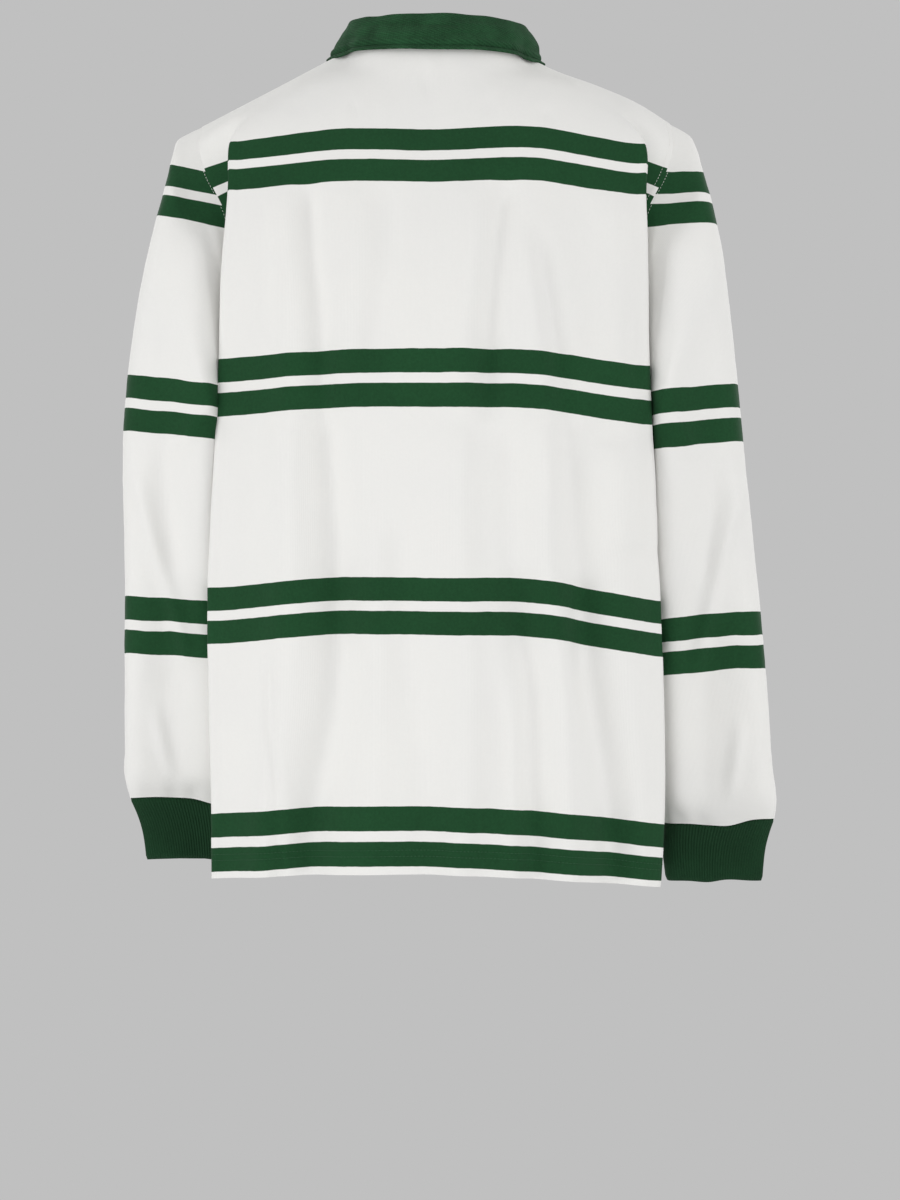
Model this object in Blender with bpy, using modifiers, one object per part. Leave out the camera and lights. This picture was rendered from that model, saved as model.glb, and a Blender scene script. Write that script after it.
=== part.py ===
"""A long-sleeved polo shirt with a folded collar and ribbed cuffs.

It keeps the shape it has when worn, with nobody in it: the neck, the hem and the cuffs are open and the
inside is empty. Metres, +Z up. The front faces -Y and the wearer's left is +X. The origin is in the middle
of the neck opening, a little under the height where the shoulders come out from under the collar.
"""

import math
from collections import namedtuple

import bmesh
import bpy
import numpy as np

MM = 0.001

# The cut, in millimetres.
WALL = 1.5  # heavy jersey
RIB_WALL = 1.6  # knitted cuff, under its ribs
COLLAR_WALL = 1.8
PLACKET_WALL = 1.2
SEAM = 0.3  # space between two pieces that are sewn together
FLAT = 3.0  # how far the cloth lies flat beside the seam on the shoulder
FIRST_ROWS = (0.0, 3.0, 8.0, 15.0)  # the first rows of a panel, close together over the shoulder

# The neckline and the shoulder seams, in millimetres: x, y, z.
NECK_BACK = (0.0, 60.0, 10.0)
NECK_FRONT = (0.0, -64.0, -58.0)
NECK_SIDES = {"left": (76.0, 0.0, 10.0), "right": (76.0, 0.0, 6.0)}
RIDGES = {
    "left": (NECK_SIDES["left"], (140.0, 0.0, -24.0), (177.0, 0.0, -43.3), (206.0, 0.0, -58.5)),
    "right": (
        NECK_SIDES["right"],
        (102.0, 0.0, -7.5),
        (144.0, 0.0, -23.0),
        (177.0, 0.0, -37.5),
        (206.0, 0.0, -56.0),
    ),
}
NECK_SHARE = {"back": 0.40, "front": 0.44}  # share of a half panel's top edge that is neckline

# How the cloth leaves its top edge: the length of the roll and its slope below the horizontal.
Roll = namedtuple("Roll", "share length slope")
ROLLS = {
    "back": (Roll(0.0, 12, 58), Roll(0.40, 14, 34), Roll(0.6, 17, 16), Roll(0.85, 15, 20), Roll(1.0, 14, 30)),
    "front": (Roll(0.0, 5, 62), Roll(0.44, 12, 40), Roll(0.6, 17, 16), Roll(0.85, 15, 20), Roll(1.0, 14, 30)),
}

# Sections of the two panels, in millimetres. middle_y and z are at the centre line. The blade point is
# BLADE_X out from it, the corner is where the panel turns to the side, the tuck is the hollow behind or
# before the arm, and the edge is the armhole seam or, from the underarm down, the side seam.
# A drop is how much lower a point hangs than the centre line, on the wearer's left and right.
BLADE_X = 92.0
UNDERARM = 4  # the section at which the armhole ends
Section = namedtuple(
    "Section",
    "name middle_y z blade_y blade_l blade_r corner_l corner_r corner_y drop_l drop_r "
    "tuck_x tuck_y tuck_drop edge_x edge_y edge_drop",
)
BACK_SECTIONS = (
    Section("yoke", 83, -31, 66, -4, -4, 158, 158, 52, 19, 18, 183, 42, 30, 207, 24, 42),
    Section("stripe_1", 98, -72, 95, 0, -3, 178, 181, 78, 8, 10, 171, 60, 20, 201, 45, 28),
    Section("stripe_1_end", 110, -116, 107, 0, -2, 179, 181, 84, 4, 8, 170, 66, 20, 181, 60, 27),
    Section("blades", 124, -185, 120, 0, 1, 184, 182, 86, 6, 10, 175, 62, 14, 172, 46, 18),
    Section("underarm", 130, -260, 124, 2, 1, 187, 183, 80, 6, 12, 177, 38, 10, 169, 0, 8),
    Section("stripe_2_end", 131, -308, 124, 1, 1, 190, 185, 78, 6, 13, 177, 32, 9, 169, -6, 8),
    Section("waist", 129, -382, 122, 1, 1, 194, 189, 74, 7, 16, 178, 28, 9, 169, -12, 9),
    Section("stripe_3", 126, -455, 119, 0, 2, 197, 194, 70, 8, 20, 180, 24, 11, 170, -16, 11),
    Section("hip", 123, -550, 116, 0, 3, 197, 197, 66, 8, 19, 183, 20, 11, 171, -18, 11),
    Section("stripe_4", 121, -652, 113, 1, 4, 194, 197, 64, 8, 17, 184, 20, 10, 174, -18, 10),
    Section("hem", 120, -708, 112, 1, 5, 194, 193, 62, 7, 14, 186, 20, 8, 177, -16, 8),
)
FRONT_SECTIONS = (
    Section("yoke", -72.5, -68, -58, -37, -37, 156, 156, -47, -17, -18, 182, -38, -8, 207, -24, 6),
    Section("stripe_1", -77.5, -77, -88, -2, -2, 172, 172, -70, 10, 10, 187, -57, 17, 201, -43, 23),
    Section("stripe_1_end", -98, -122, -106, -2, -2, 173, 173, -82, 8, 8, 179, -72, 15, 182, -59, 21),
    Section("blades", -119, -190, -118, -1, -1, 173, 173, -86, 6, 6, 174, -66, 11, 172, -46, 13),
    Section("underarm", -126, -262, -120, 0, 0, 174, 174, -84, 4, 4, 173, -42, 6, 169, 0, 6),
    Section("stripe_2_end", -126, -311, -119, 0, 0, 174, 174, -83, 4, 4, 171, -44, 5, 169, -6, 5),
    Section("waist", -122, -386, -115, 0, 1, 172, 173, -82, 4, 6, 169, -46, 5, 169, -12, 5),
    Section("stripe_3", -118, -460, -111, 0, 2, 170, 172, -80, 4, 8, 169, -48, 6, 170, -16, 6),
    Section("hip", -113, -556, -107, 0, 2, 168, 172, -78, 4, 8, 169, -48, 5, 171, -18, 5),
    Section("stripe_4", -110, -658, -104, 0, 2, 168, 174, -76, 4, 8, 170, -47, 4, 174, -18, 4),
    Section("hem", -108, -713, -102, 0, 2, 169, 174, -74, 3, 6, 173, -46, 3, 177, -16, 3),
)
SECTIONS = {"back": BACK_SECTIONS, "front": FRONT_SECTIONS}
PANEL_COLUMNS = 26
ROWS_ABOVE = 12  # from the shoulder down to the underarm
ROWS_BELOW = 15

# Rings of the sleeves, in millimetres. The outer point is on top of the arm and the inner one under it.
# own is the ring's own oval shape against the armhole's.
Ring = namedtuple("Ring", "outer_x outer_z inner_x inner_z middle_y half_depth own")
SLEEVE_RINGS = {
    "left": (
        Ring(217.5, -64.0, 170.8, -273, 0, 66, 0.04),
        Ring(227.5, -70.0, 173.0, -278, 0, 66, 0.12),
        Ring(231, -80.5, 175.4, -284, 0, 67, 0.28),
        Ring(233.5, -95, 178.2, -292, 0, 68, 0.50),
        Ring(239, -120, 181, -304, -1, 69, 0.75),
        Ring(247.5, -160, 183.5, -322, -3, 70, 1.0),
        Ring(258.5, -210, 185, -347, -6, 69, 1.0),
        Ring(268, -270, 186, -382, -9, 65, 1.0),
        Ring(273.5, -330, 186, -417, -13, 60, 1.0),
        Ring(274, -420, 184, -472, -22, 53, 1.0),
        Ring(275, -520, 181, -545, -38, 46, 1.0),
        Ring(277, -606, 178.5, -618, -54, 41, 1.0),
        Ring(277.5, -632, 177.5, -641, -60, 37, 1.0),
        Ring(273.5, -650.5, 177.5, -656, -64, 29, 1.0),
    ),
    "right": (
        Ring(215.5, -61.0, 170.8, -273, 0, 66, 0.04),
        Ring(224, -67.0, 173.0, -278, 0, 66, 0.12),
        Ring(229.5, -78.0, 175.4, -284, 0, 67, 0.28),
        Ring(234, -94, 178.2, -292, 0, 68, 0.50),
        Ring(240, -120, 181, -304, -1, 69, 0.75),
        Ring(247.5, -160, 183.5, -322, -3, 70, 1.0),
        Ring(254.5, -210, 185, -347, -6, 69, 1.0),
        Ring(262.5, -275, 186, -387, -9, 65, 1.0),
        Ring(269, -340, 187, -427, -13, 60, 1.0),
        Ring(279.5, -430, 189, -482, -20, 53, 1.0),
        Ring(290.5, -530, 194, -555, -30, 46, 1.0),
        Ring(298, -622, 200, -634, -40, 41, 1.0),
        Ring(301.5, -652, 202.5, -661, -44, 37, 1.0),
        Ring(300.5, -669.5, 203.5, -674, -46, 29, 1.0),
    ),
}
SLEEVE_ROWS = 22

# Rings of the ribbed cuffs, in millimetres, from the sleeve down. The ribs pull the knit in at once.
CUFF_RINGS = {
    "left": (
        Ring(273, -650.9, 177.8, -656.4, -64, 28.5, 1.0),
        Ring(263.5, -676, 176.8, -680, -68, 23, 1.0),
        Ring(259.2, -707.5, 175.6, -708, -73, 19, 1.0),
    ),
    "right": (
        Ring(300, -669.9, 203.8, -674.4, -46, 28.5, 1.0),
        Ring(293.5, -692, 203, -694, -50, 23, 1.0),
        Ring(290, -724.5, 206, -724, -53, 19, 1.0),
    ),
}
RIBS = 104
RIB_HEIGHT = 0.5

# The largest folds of the panels, in millimetres: where a fold runs from top to bottom, measured out from
# the centre line towards the wearer's left, how wide it is and how far it stands out.
Fold = namedtuple("Fold", "panel top bottom x_top x_bottom width depth")
FOLDS = (
    Fold("back", -560, -712, 142, 136, 15, -6.0),
    Fold("back", -140, -330, -50, -46, 20, -3.0),
    Fold("back", -150, -420, 72, 80, 26, 2.5),
    Fold("back", -590, -712, -154, -160, 16, -4.5),
    Fold("back", -540, -712, -96, -100, 22, -3.0),
    Fold("front", -240, -712, 96, 104, 24, -6.0),
    Fold("front", -300, -712, -88, -100, 26, -6.5),
    Fold("front", -430, -712, 30, 26, 30, 4.0),
)

# The collar from the centre back to the centre front, in millimetres. panel and neck say where it stands
# on the neckline, leaf_panel, leaf and reach where the edge of its fall lies on the shirt.
Station = namedtuple("Station", "panel neck stand lean leaf_panel leaf reach lift")
STATIONS = (
    Station("back", 0.00, 18.5, 7.0, "back", 0.00, 16, 3.0),
    Station("back", 0.12, 18.5, 7.0, "back", 0.135, 16, 3.0),
    Station("back", 0.25, 18.5, 6.5, "back", 0.30, 16, 3.0),
    Station("back", 0.36, 18.5, 5.0, "back", 0.43, 13, 3.4),
    Station("front", 0.43, 18.5, 4.0, "front", 0.515, 7, 3.7),
    Station("front", 0.35, 18.5, 5.0, "front", 0.48, 24, 3.7),
    Station("front", 0.24, 18, 5.0, "front", 0.38, 37, 3.8),
    Station("front", 0.12, 18, 5.0, "front", 0.27, 46, 4.0),
    Station("front", 0.014, 17, 4.5, "front", 0.16, 50, 4.2),
)
RIGHT_OUT = 3.5  # how much further out the fold lies on the wearer's right
COLLAR_FOLD = 2.4  # half the space between the stand and the fall
FOOT = 0.9  # how much the stand clears the neckline beyond the seam's space
COLLAR_LENGTHS = 36

# The placket down the front, closed, and its buttons, in millimetres.
PLACKET_WIDTH = 32.0
PLACKET_TOP = 6.0
PLACKET_LENGTH = 150.0
BUTTON_DROPS = (14.0, 68.0, 122.0)
BUTTON_RADIUS = 5.6
BUTTON_THICK = 2.4

GREEN = (0.015, 0.055, 0.020)
WHITE = (0.80, 0.79, 0.76)
HORN = (0.72, 0.70, 0.64)


def slopes_of(knots, values):
    """The slope of a smooth curve at each of its knots."""
    spans = np.diff(knots)[:, None]
    rises = np.diff(values, axis=0) / spans
    middle = (rises[:-1] * spans[1:] + rises[1:] * spans[:-1]) / (spans[:-1] + spans[1:])
    if len(middle) == 0:
        return np.vstack([rises, rises])
    first = (3 * rises[0] - middle[0]) / 2
    last = (3 * rises[-1] - middle[-1]) / 2
    return np.vstack([first, middle, last])


def smooth(knots, values, at):
    """A smooth curve through the values at their knots, read at other places."""
    knots, values, at = (np.asarray(a, float) for a in (knots, values, at))
    slopes = slopes_of(knots, values)
    i = np.clip(np.searchsorted(knots, at) - 1, 0, len(knots) - 2)
    span = (knots[i + 1] - knots[i])[:, None]
    t = (at - knots[i])[:, None] / span
    return (
        values[i] * (1 + 2 * t) * (1 - t) ** 2
        + slopes[i] * span * t * (1 - t) ** 2
        + values[i + 1] * t**2 * (3 - 2 * t)
        + slopes[i + 1] * span * t**2 * (t - 1)
    )


def ease(t):
    """A soft step from 0 to 1."""
    t = np.clip(t, 0, 1)
    return t * t * (3 - 2 * t)


def chords(points):
    """The distance along a row of points."""
    steps = np.linalg.norm(np.diff(np.asarray(points, float)[:, :3], axis=0), axis=1)
    return np.concatenate([[0.0], np.cumsum(steps)])


def read_at(line, places):
    """Points at the given distances along a row of close points."""
    along = chords(line)
    return np.stack([np.interp(places, along, line[:, k]) for k in range(line.shape[1])], axis=1)


def even(points, shares):
    """Points at the given shares of the length of a smooth curve through the points."""
    points = np.asarray(points, float)
    knots = chords(points)
    line = smooth(knots, points, np.linspace(0, knots[-1], 40 * len(knots)))
    return read_at(line, np.asarray(shares) * chords(line)[-1])


def section_row(section, shares):
    """A section of a panel at shares from -1, the wearer's right edge, through 0 to 1, the left edge."""
    s = section
    left = (s.corner_l, s.blade_l, s.drop_l)
    right = (-s.corner_r, s.blade_r, s.drop_r)
    sides = []
    for corner_x, blade, drop in (left, right):
        sign = math.copysign(1, corner_x)
        tuck_z = s.z - s.tuck_drop - 0.6 * (drop - s.drop_l)
        sides.append(
            [
                (sign * BLADE_X, s.blade_y, s.z - blade),
                (corner_x, s.corner_y, s.z - drop),
                (sign * s.tuck_x, s.tuck_y, tuck_z),
                (sign * s.edge_x, s.edge_y, s.z - s.edge_drop),
            ]
        )
    keys = np.array([*reversed(sides[1]), (0, s.middle_y, s.z), *sides[0]], float)
    knots = chords(keys)
    line = smooth(knots, keys, np.linspace(0, knots[-1], 400))
    along = chords(line)
    centre = np.interp(0.0, line[:, 0], along)
    return read_at(line, np.where(shares < 0, centre * (1 + shares), centre + shares * (along[-1] - centre)))


def neck_curve(panel, side):
    """The neckline of one panel, from its centre to the neck's side point, with x measured outwards."""
    middle, fall = (NECK_BACK, 2.0) if panel == "back" else (NECK_FRONT, 1.7)
    end = NECK_SIDES[side]
    angle = np.linspace(0, math.pi / 2, 9)
    height = end[2] + (middle[2] - end[2]) * np.cos(angle) ** fall
    return np.stack([end[0] * np.sin(angle), middle[1] * np.cos(angle), height], axis=1)


def top_row(panel, shares):
    """The top edge of a panel: the neckline, and the shoulder seam on either side of it."""
    turn = NECK_SHARE[panel]
    out = np.abs(shares)
    points = np.empty((len(out), 3))
    for side, chosen in (("left", shares >= 0), ("right", shares < 0)):
        neck = even(neck_curve(panel, side), np.clip(out / turn, 0, 1))
        ridge = even(RIDGES[side], np.clip((out - turn) / (1 - turn), 0, 1))
        line = np.where((out <= turn)[:, None], neck, ridge)
        points[chosen] = line[chosen]
    points[:, 0] *= np.where(shares < 0, -1, 1)
    return points


def roll_rows(panel, shares, top):
    """The rows just below the top edge: flat beside the seam, then rolling over the shoulder."""
    out = np.abs(shares)
    table = ROLLS[panel]
    length = np.interp(out, [r.share for r in table], [r.length for r in table])
    slope = np.radians(np.interp(out, [r.share for r in table], [r.slope for r in table]))
    back = 1 if panel == "back" else -1
    flat = top + [0, back * FLAT, -0.1]
    return [flat, flat + np.stack([0 * out, back * length * np.cos(slope), -length * np.sin(slope)], axis=1)]


def panel_keys(panel, shares):
    """The points every column of a panel passes, from the top edge down: rows by columns."""
    shares = np.atleast_1d(np.asarray(shares, float))
    top = top_row(panel, shares)
    lines = [top, *roll_rows(panel, shares, top)] + [section_row(s, shares) for s in SECTIONS[panel]]
    return np.array(lines)


def panel_places(knots):
    """Where the rows of a panel lie along one of its columns, with a row on the underarm section."""
    turn = knots[UNDERARM + 3]
    above = np.linspace(FIRST_ROWS[-1], turn, ROWS_ABOVE - len(FIRST_ROWS) + 2)[1:]
    below = np.linspace(turn, knots[-1], ROWS_BELOW + 1)[1:]
    return np.concatenate([FIRST_ROWS, above, below])


def outward(grid):
    """The unit normal of a grid of points, columns by rows."""
    normal = np.cross(np.gradient(grid, axis=0), np.gradient(grid, axis=1))
    return normal / np.linalg.norm(normal, axis=2, keepdims=True)


def fold_height(panel, grid):
    """How far the folds move each point of a panel out."""
    height = np.zeros(grid.shape[:2])
    for fold in FOLDS:
        if fold.panel != panel:
            continue
        run = (fold.top - grid[..., 2]) / (fold.top - fold.bottom)
        middle = fold.x_top + (fold.x_bottom - fold.x_top) * np.clip(run, 0, 1)
        height += fold.depth * np.exp(-(((grid[..., 0] - middle) / fold.width) ** 2)) * ease(run)
    return height


def panel_grid(panel):
    """The outside of a panel: points in columns from the wearer's right to left, each from top to bottom."""
    side = 1 if panel == "back" else -1
    shares = np.linspace(-1, 1, PANEL_COLUMNS + 1)
    keys = panel_keys(panel, shares)
    grid = np.empty((PANEL_COLUMNS + 1, ROWS_ABOVE + ROWS_BELOW + 1, 3))
    turn = UNDERARM + 3
    for column in range(PANEL_COLUMNS + 1):
        line = keys[:, column]
        knots = chords(line)
        places = panel_places(knots)
        if column in (0, PANEL_COLUMNS):
            above = smooth(knots[: turn + 1], line[: turn + 1], places[: ROWS_ABOVE + 1])
            below = smooth(knots[turn:], line[turn:], places[ROWS_ABOVE + 1 :])
            grid[column] = np.vstack([above, below])
        else:
            grid[column] = smooth(knots, line, places)
    inside = ease((1 - np.abs(shares)) / 0.14)[:, None]
    grid += outward(grid) * side * (fold_height(panel, grid) * inside)[..., None]
    # Half the seam's space, at the shoulders and down the sides.
    grid[:, :2, 1] += side * SEAM / 2
    for column in (0, PANEL_COLUMNS):
        grid[column, ROWS_ABOVE:, 1] += side * SEAM / 2
    return grid


def panel_point(panel, share, reach, lift):
    """A point over a panel: down one of its columns by reach and out from the cloth by lift."""
    near = np.array([share - 0.01, share, share + 0.01])
    keys = panel_keys(panel, near)
    points = []
    for column in range(3):
        knots = chords(keys[:, column])
        points.append(smooth(knots, keys[:, column], [reach, reach + 2.0]))
    points = np.array(points)
    across, down = points[2, 0] - points[0, 0], points[1, 1] - points[1, 0]
    normal = np.cross(across, down) * (1 if panel == "back" else -1)
    return points[1, 0] + normal / np.linalg.norm(normal) * lift


def armhole(side):
    """The armhole as a closed line: from the shoulder down the back, round the underarm and up the front."""
    column = -1 if side == "left" else 0
    back = panel_grid("back")[column, : ROWS_ABOVE + 1]
    front = panel_grid("front")[column, : ROWS_ABOVE + 1]
    loop = np.vstack([back, front[-2::-1]])
    for row in (0, ROWS_ABOVE, -1):
        loop[row, 1] = 0.0
    loop[:, 0] += SEAM if side == "left" else -SEAM
    return loop


def oval(ring, side, shares):
    """One ring of a sleeve as a closed line, evenly spaced, from the outer point round by the back."""
    sign = 1 if side == "left" else -1
    turn = 2 * math.pi * np.linspace(0, 1, 361)
    out, back = np.cos(turn), np.sin(turn)
    x = (ring.outer_x + ring.inner_x) / 2 + (ring.outer_x - ring.inner_x) / 2 * out
    z = (ring.outer_z + ring.inner_z) / 2 + (ring.outer_z - ring.inner_z) / 2 * out
    line = np.stack([sign * x, ring.middle_y + ring.half_depth * back, z], axis=1)
    return read_at(line, shares * chords(line)[-1])


def sleeve_grid(side):
    """The outside of a sleeve: columns round the arm, each from the armhole down to the cuff."""
    sign = 1 if side == "left" else -1
    loop = armhole(side)
    columns = len(loop) - 1
    along = chords(loop) / chords(loop)[-1]
    shares = np.linspace(0, 1, columns + 1)
    high, low = loop[0], loop[columns // 2]
    lift = ((1 + np.cos(2 * math.pi * along)) / 2)[:, None]
    lines = [loop]
    for ring in SLEEVE_RINGS[side]:
        outer = np.array([sign * ring.outer_x, 0, ring.outer_z])
        inner = np.array([sign * ring.inner_x, 0, ring.inner_z])
        moved = loop + lift * (outer - high) + (1 - lift) * (inner - low)
        own = oval(ring, side, along + (shares - along) * ring.own)
        lines.append(moved + (own - moved) * ring.own)
    grid = np.empty((columns + 1, SLEEVE_ROWS + 1, 3))
    spread = np.linspace(0, 1, SLEEVE_ROWS + 1)
    spread *= 0.32 + 0.68 * spread
    for column in range(columns + 1):
        keys = np.array([line[column] for line in lines])
        knots = chords(keys)
        grid[column] = smooth(knots, keys, knots[-1] * spread)
    return grid


def cuff_grid(side):
    """A whole cuff, down its ribbed outside and up its plain inside, as columns round the wrist."""
    sign = 1 if side == "left" else -1
    shares = np.linspace(0, 1, 2 * RIBS + 1)
    outside, inside = [], []
    for ring in CUFF_RINGS[side]:
        plain = oval(ring, side, shares)
        middle = [sign * (ring.outer_x + ring.inner_x) / 2, ring.middle_y, (ring.outer_z + ring.inner_z) / 2]
        out = plain - middle
        out /= np.linalg.norm(out, axis=1, keepdims=True)
        raised = np.arange(2 * RIBS + 1) % 2 * RIB_HEIGHT
        outside.append(plain + out * raised[:, None])
        less = ring._replace(
            outer_x=ring.outer_x - RIB_WALL,
            inner_x=ring.inner_x + RIB_WALL,
            half_depth=ring.half_depth - RIB_WALL,
        )
        inside.append(oval(less, side, shares))
    return np.array([*outside, *reversed(inside), outside[0]]).transpose(1, 0, 2)


def collar_half(side):
    """Half the collar, from the centre back to the centre front: at each station the points from the
    stand's foot up, over the fold and down to the edge of the fall."""
    half = []
    up = np.array([0, 0, 1.0])
    for s in STATIONS:
        neck = side * s.neck
        foot = top_row(s.panel, np.array([neck]))[0]
        nearby = top_row(s.panel, np.array([neck - 0.01, neck + 0.01]))
        along = (nearby[1] - nearby[0]) * (1 if s.panel == "back" else -1)
        out = np.array([-along[1], along[0], 0.0])
        out /= np.linalg.norm(out)
        rise = np.cross(along, out)
        foot = foot + rise / rise[2] * abs(rise[2]) / np.linalg.norm(rise) * (SEAM + FOOT)
        head = foot + up * s.stand - out * s.lean
        edge = panel_point(s.leaf_panel, side * s.leaf, s.reach, s.lift)
        over = head + out * COLLAR_FOLD * 2
        half.append(
            [
                foot,
                foot + up * 3.0 - out * 0.4,
                foot + up * s.stand * 0.6 - out * s.lean * 0.62,
                head,
                head + out * COLLAR_FOLD + up * COLLAR_FOLD * 1.2,
                over,
                over + (edge - over) * 0.35 + out * 1.2,
                over + (edge - over) * 0.7 + out * 1.0,
                edge,
            ]
        )
    return np.array(half)


def collar_grid():
    """The outside of the collar: columns along it from the wearer's right front to the left."""
    right = collar_half(-1)[::-1]
    right[:, 3:7, 0] -= RIGHT_OUT * (right[:, 3:7, 0] / NECK_SIDES["right"][0]) ** 2
    keys = np.vstack([right[:-1], collar_half(1)])
    knots = chords(keys[:, 3])
    across = np.empty((COLLAR_LENGTHS + 1, keys.shape[1], 3))
    for k in range(keys.shape[1]):
        across[:, k] = smooth(knots, keys[:, k], np.linspace(0, knots[-1], COLLAR_LENGTHS + 1))
    places = np.array([0, 0.5, 1, 2, 3, 4, 5, 5.6, 6.4, 7.2, 8.0])
    grid = np.empty((COLLAR_LENGTHS + 1, len(places), 3))
    for column in range(COLLAR_LENGTHS + 1):
        grid[column] = smooth(np.arange(keys.shape[1]), across[column], places)
    return grid


def fabric(name, colour, roughness):
    material = bpy.data.materials.new(name)
    material.use_nodes = True
    shader = material.node_tree.nodes["Principled BSDF"]
    shader.inputs["Base Color"].default_value = (*colour, 1)
    shader.inputs["Roughness"].default_value = roughness
    shader.inputs["Metallic"].default_value = 0.0
    return material


def laid_out(mesh, grid):
    """Lays a flat bmesh grid on a grid of points, columns by rows, and joins edges that meet."""
    columns, rows = grid.shape[0] - 1, grid.shape[1] - 1
    bmesh.ops.create_grid(mesh, x_segments=columns, y_segments=rows, size=1.0)
    for vertex in mesh.verts:
        column = round((vertex.co.x + 1) / 2 * columns)
        row = round((1 - vertex.co.y) / 2 * rows)
        vertex.co = grid[column, row] * MM
    bmesh.ops.remove_doubles(mesh, verts=mesh.verts, dist=1e-6)


def piece_of(name, mesh, material, collection):
    data = bpy.data.meshes.new(name)
    mesh.to_mesh(data)
    mesh.free()
    data.shade_smooth()
    data.materials.append(material)
    piece = bpy.data.objects.new(name, data)
    collection.objects.link(piece)
    return piece


def cloth(name, grid, wall, material, collection, flip=False):
    """A piece of cloth: its outside from a grid of points, and a wall of even thickness inside it."""
    mesh = bmesh.new()
    laid_out(mesh, grid)
    if flip:
        bmesh.ops.reverse_faces(mesh, faces=mesh.faces)
    piece = piece_of(name, mesh, material, collection)
    solid = piece.modifiers.new("wall", "SOLIDIFY")
    solid.thickness = wall * MM
    solid.offset = -1
    return piece


def whole(name, grid, material, collection):
    """A piece made all round from a grid of points that closes on itself both ways."""
    mesh = bmesh.new()
    laid_out(mesh, grid)
    bmesh.ops.recalc_face_normals(mesh, faces=mesh.faces)
    return piece_of(name, mesh, material, collection)


def placket_grid():
    """The outside of the placket, laid on the front panel."""
    columns, rows = 4, 12
    grid = np.empty((columns + 1, rows + 1, 3))
    for row in range(rows + 1):
        reach = PLACKET_TOP + PLACKET_LENGTH * row / rows
        for column in range(columns + 1):
            x = PLACKET_WIDTH * (column / columns - 0.5)
            grid[column, row] = front_point(x, reach, SEAM + PLACKET_WALL + 0.1)
    return grid


def front_point(x, reach, lift):
    """A point over the front panel at a distance x from its centre line."""
    share = x / 230.0
    for _ in range(4):
        share += (x - panel_point("front", share, reach, lift)[0]) / 230.0
    return panel_point("front", share, reach, lift)


def button(name, drop, material, collection):
    """A round button that lies on the placket."""
    high, middle, low = (front_point(0.0, PLACKET_TOP + drop + d, SEAM + PLACKET_WALL + 0.1) for d in (-6, 0, 6))
    side = np.array([1.0, 0.0, 0.0])
    up = (high - low) / np.linalg.norm(high - low)
    out = np.cross(side, up)
    middle = middle + out * max(0.6, 0.6 + (high - middle) @ out)
    profile = ((0.75, 0.0), (0.95, 0.4), (1.0, 1.2), (0.95, BUTTON_THICK - 0.3), (0.8, BUTTON_THICK))
    mesh = bmesh.new()
    turns = 20
    rings = []
    for share, height in profile:
        ring = []
        for step in range(turns):
            angle = 2 * math.pi * step / turns
            spoke = side * math.cos(angle) + up * math.sin(angle)
            ring.append(mesh.verts.new((middle + out * height + spoke * BUTTON_RADIUS * share) * MM))
        rings.append(ring)
    for lower, upper in zip(rings, rings[1:]):
        for step in range(turns):
            nearby = (step + 1) % turns
            mesh.faces.new((lower[step], lower[nearby], upper[nearby], upper[step]))
    mesh.faces.new(rings[0])
    mesh.faces.new(rings[-1])
    bmesh.ops.recalc_face_normals(mesh, faces=mesh.faces)
    return piece_of(name, mesh, material, collection)


def main():
    for old in list(bpy.data.objects):
        bpy.data.objects.remove(old)
    shirt = bpy.data.collections.new("polo_shirt")
    bpy.context.scene.collection.children.link(shirt)
    white = fabric("ivory_jersey", WHITE, 0.9)
    green = fabric("green_knit", GREEN, 0.9)
    horn = fabric("ivory_button", HORN, 0.4)
    cloth("back_panel", panel_grid("back"), WALL, white, shirt, flip=True)
    cloth("front_panel", panel_grid("front"), WALL, white, shirt)
    for side in ("left", "right"):
        cloth(f"sleeve_{side}", sleeve_grid(side), WALL, white, shirt, flip=side == "right")
        whole(f"cuff_{side}", cuff_grid(side), green, shirt)
    cloth("collar", collar_grid(), COLLAR_WALL, green, shirt)
    cloth("placket", placket_grid(), PLACKET_WALL, white, shirt)
    for number, drop in enumerate(BUTTON_DROPS, 1):
        button(f"button_{number}", drop, horn, shirt)


main()
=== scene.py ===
"""The looks of a long-sleeved striped polo shirt, worn shape, seen from behind.

Heavy ivory jersey with dark green double stripes, a brushed twill collar, ribbed cuffs, a closed placket
with buttons and a twin-stitched hem. Lengths in the tables are millimetres and meshes are in metres.
"""

import functools
import math
from collections import namedtuple

import bmesh
import bpy
import numpy as np
from bpy.props import FloatProperty, FloatVectorProperty, IntProperty, PointerProperty
from mathutils import Matrix, Vector, noise


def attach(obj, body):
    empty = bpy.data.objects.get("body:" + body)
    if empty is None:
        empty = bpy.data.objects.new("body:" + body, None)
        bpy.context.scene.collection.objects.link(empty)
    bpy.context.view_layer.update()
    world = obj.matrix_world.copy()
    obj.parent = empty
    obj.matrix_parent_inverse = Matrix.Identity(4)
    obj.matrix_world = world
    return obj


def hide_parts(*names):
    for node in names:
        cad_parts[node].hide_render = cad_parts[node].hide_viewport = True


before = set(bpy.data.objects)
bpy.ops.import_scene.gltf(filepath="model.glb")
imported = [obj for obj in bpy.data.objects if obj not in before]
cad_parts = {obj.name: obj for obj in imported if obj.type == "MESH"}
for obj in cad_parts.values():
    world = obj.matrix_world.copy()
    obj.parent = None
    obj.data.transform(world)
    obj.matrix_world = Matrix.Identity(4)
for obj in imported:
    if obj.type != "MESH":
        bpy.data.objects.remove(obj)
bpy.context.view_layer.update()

bl_info = {
    "name": "Striped polo shirt",
    "version": (1, 0, 0),
    "blender": (4, 5, 0),
    "location": "View3D > Sidebar > Polo shirt",
    "description": "Builds the cloth, trim and stage of a striped polo shirt",
    "category": "Object",
}

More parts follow.
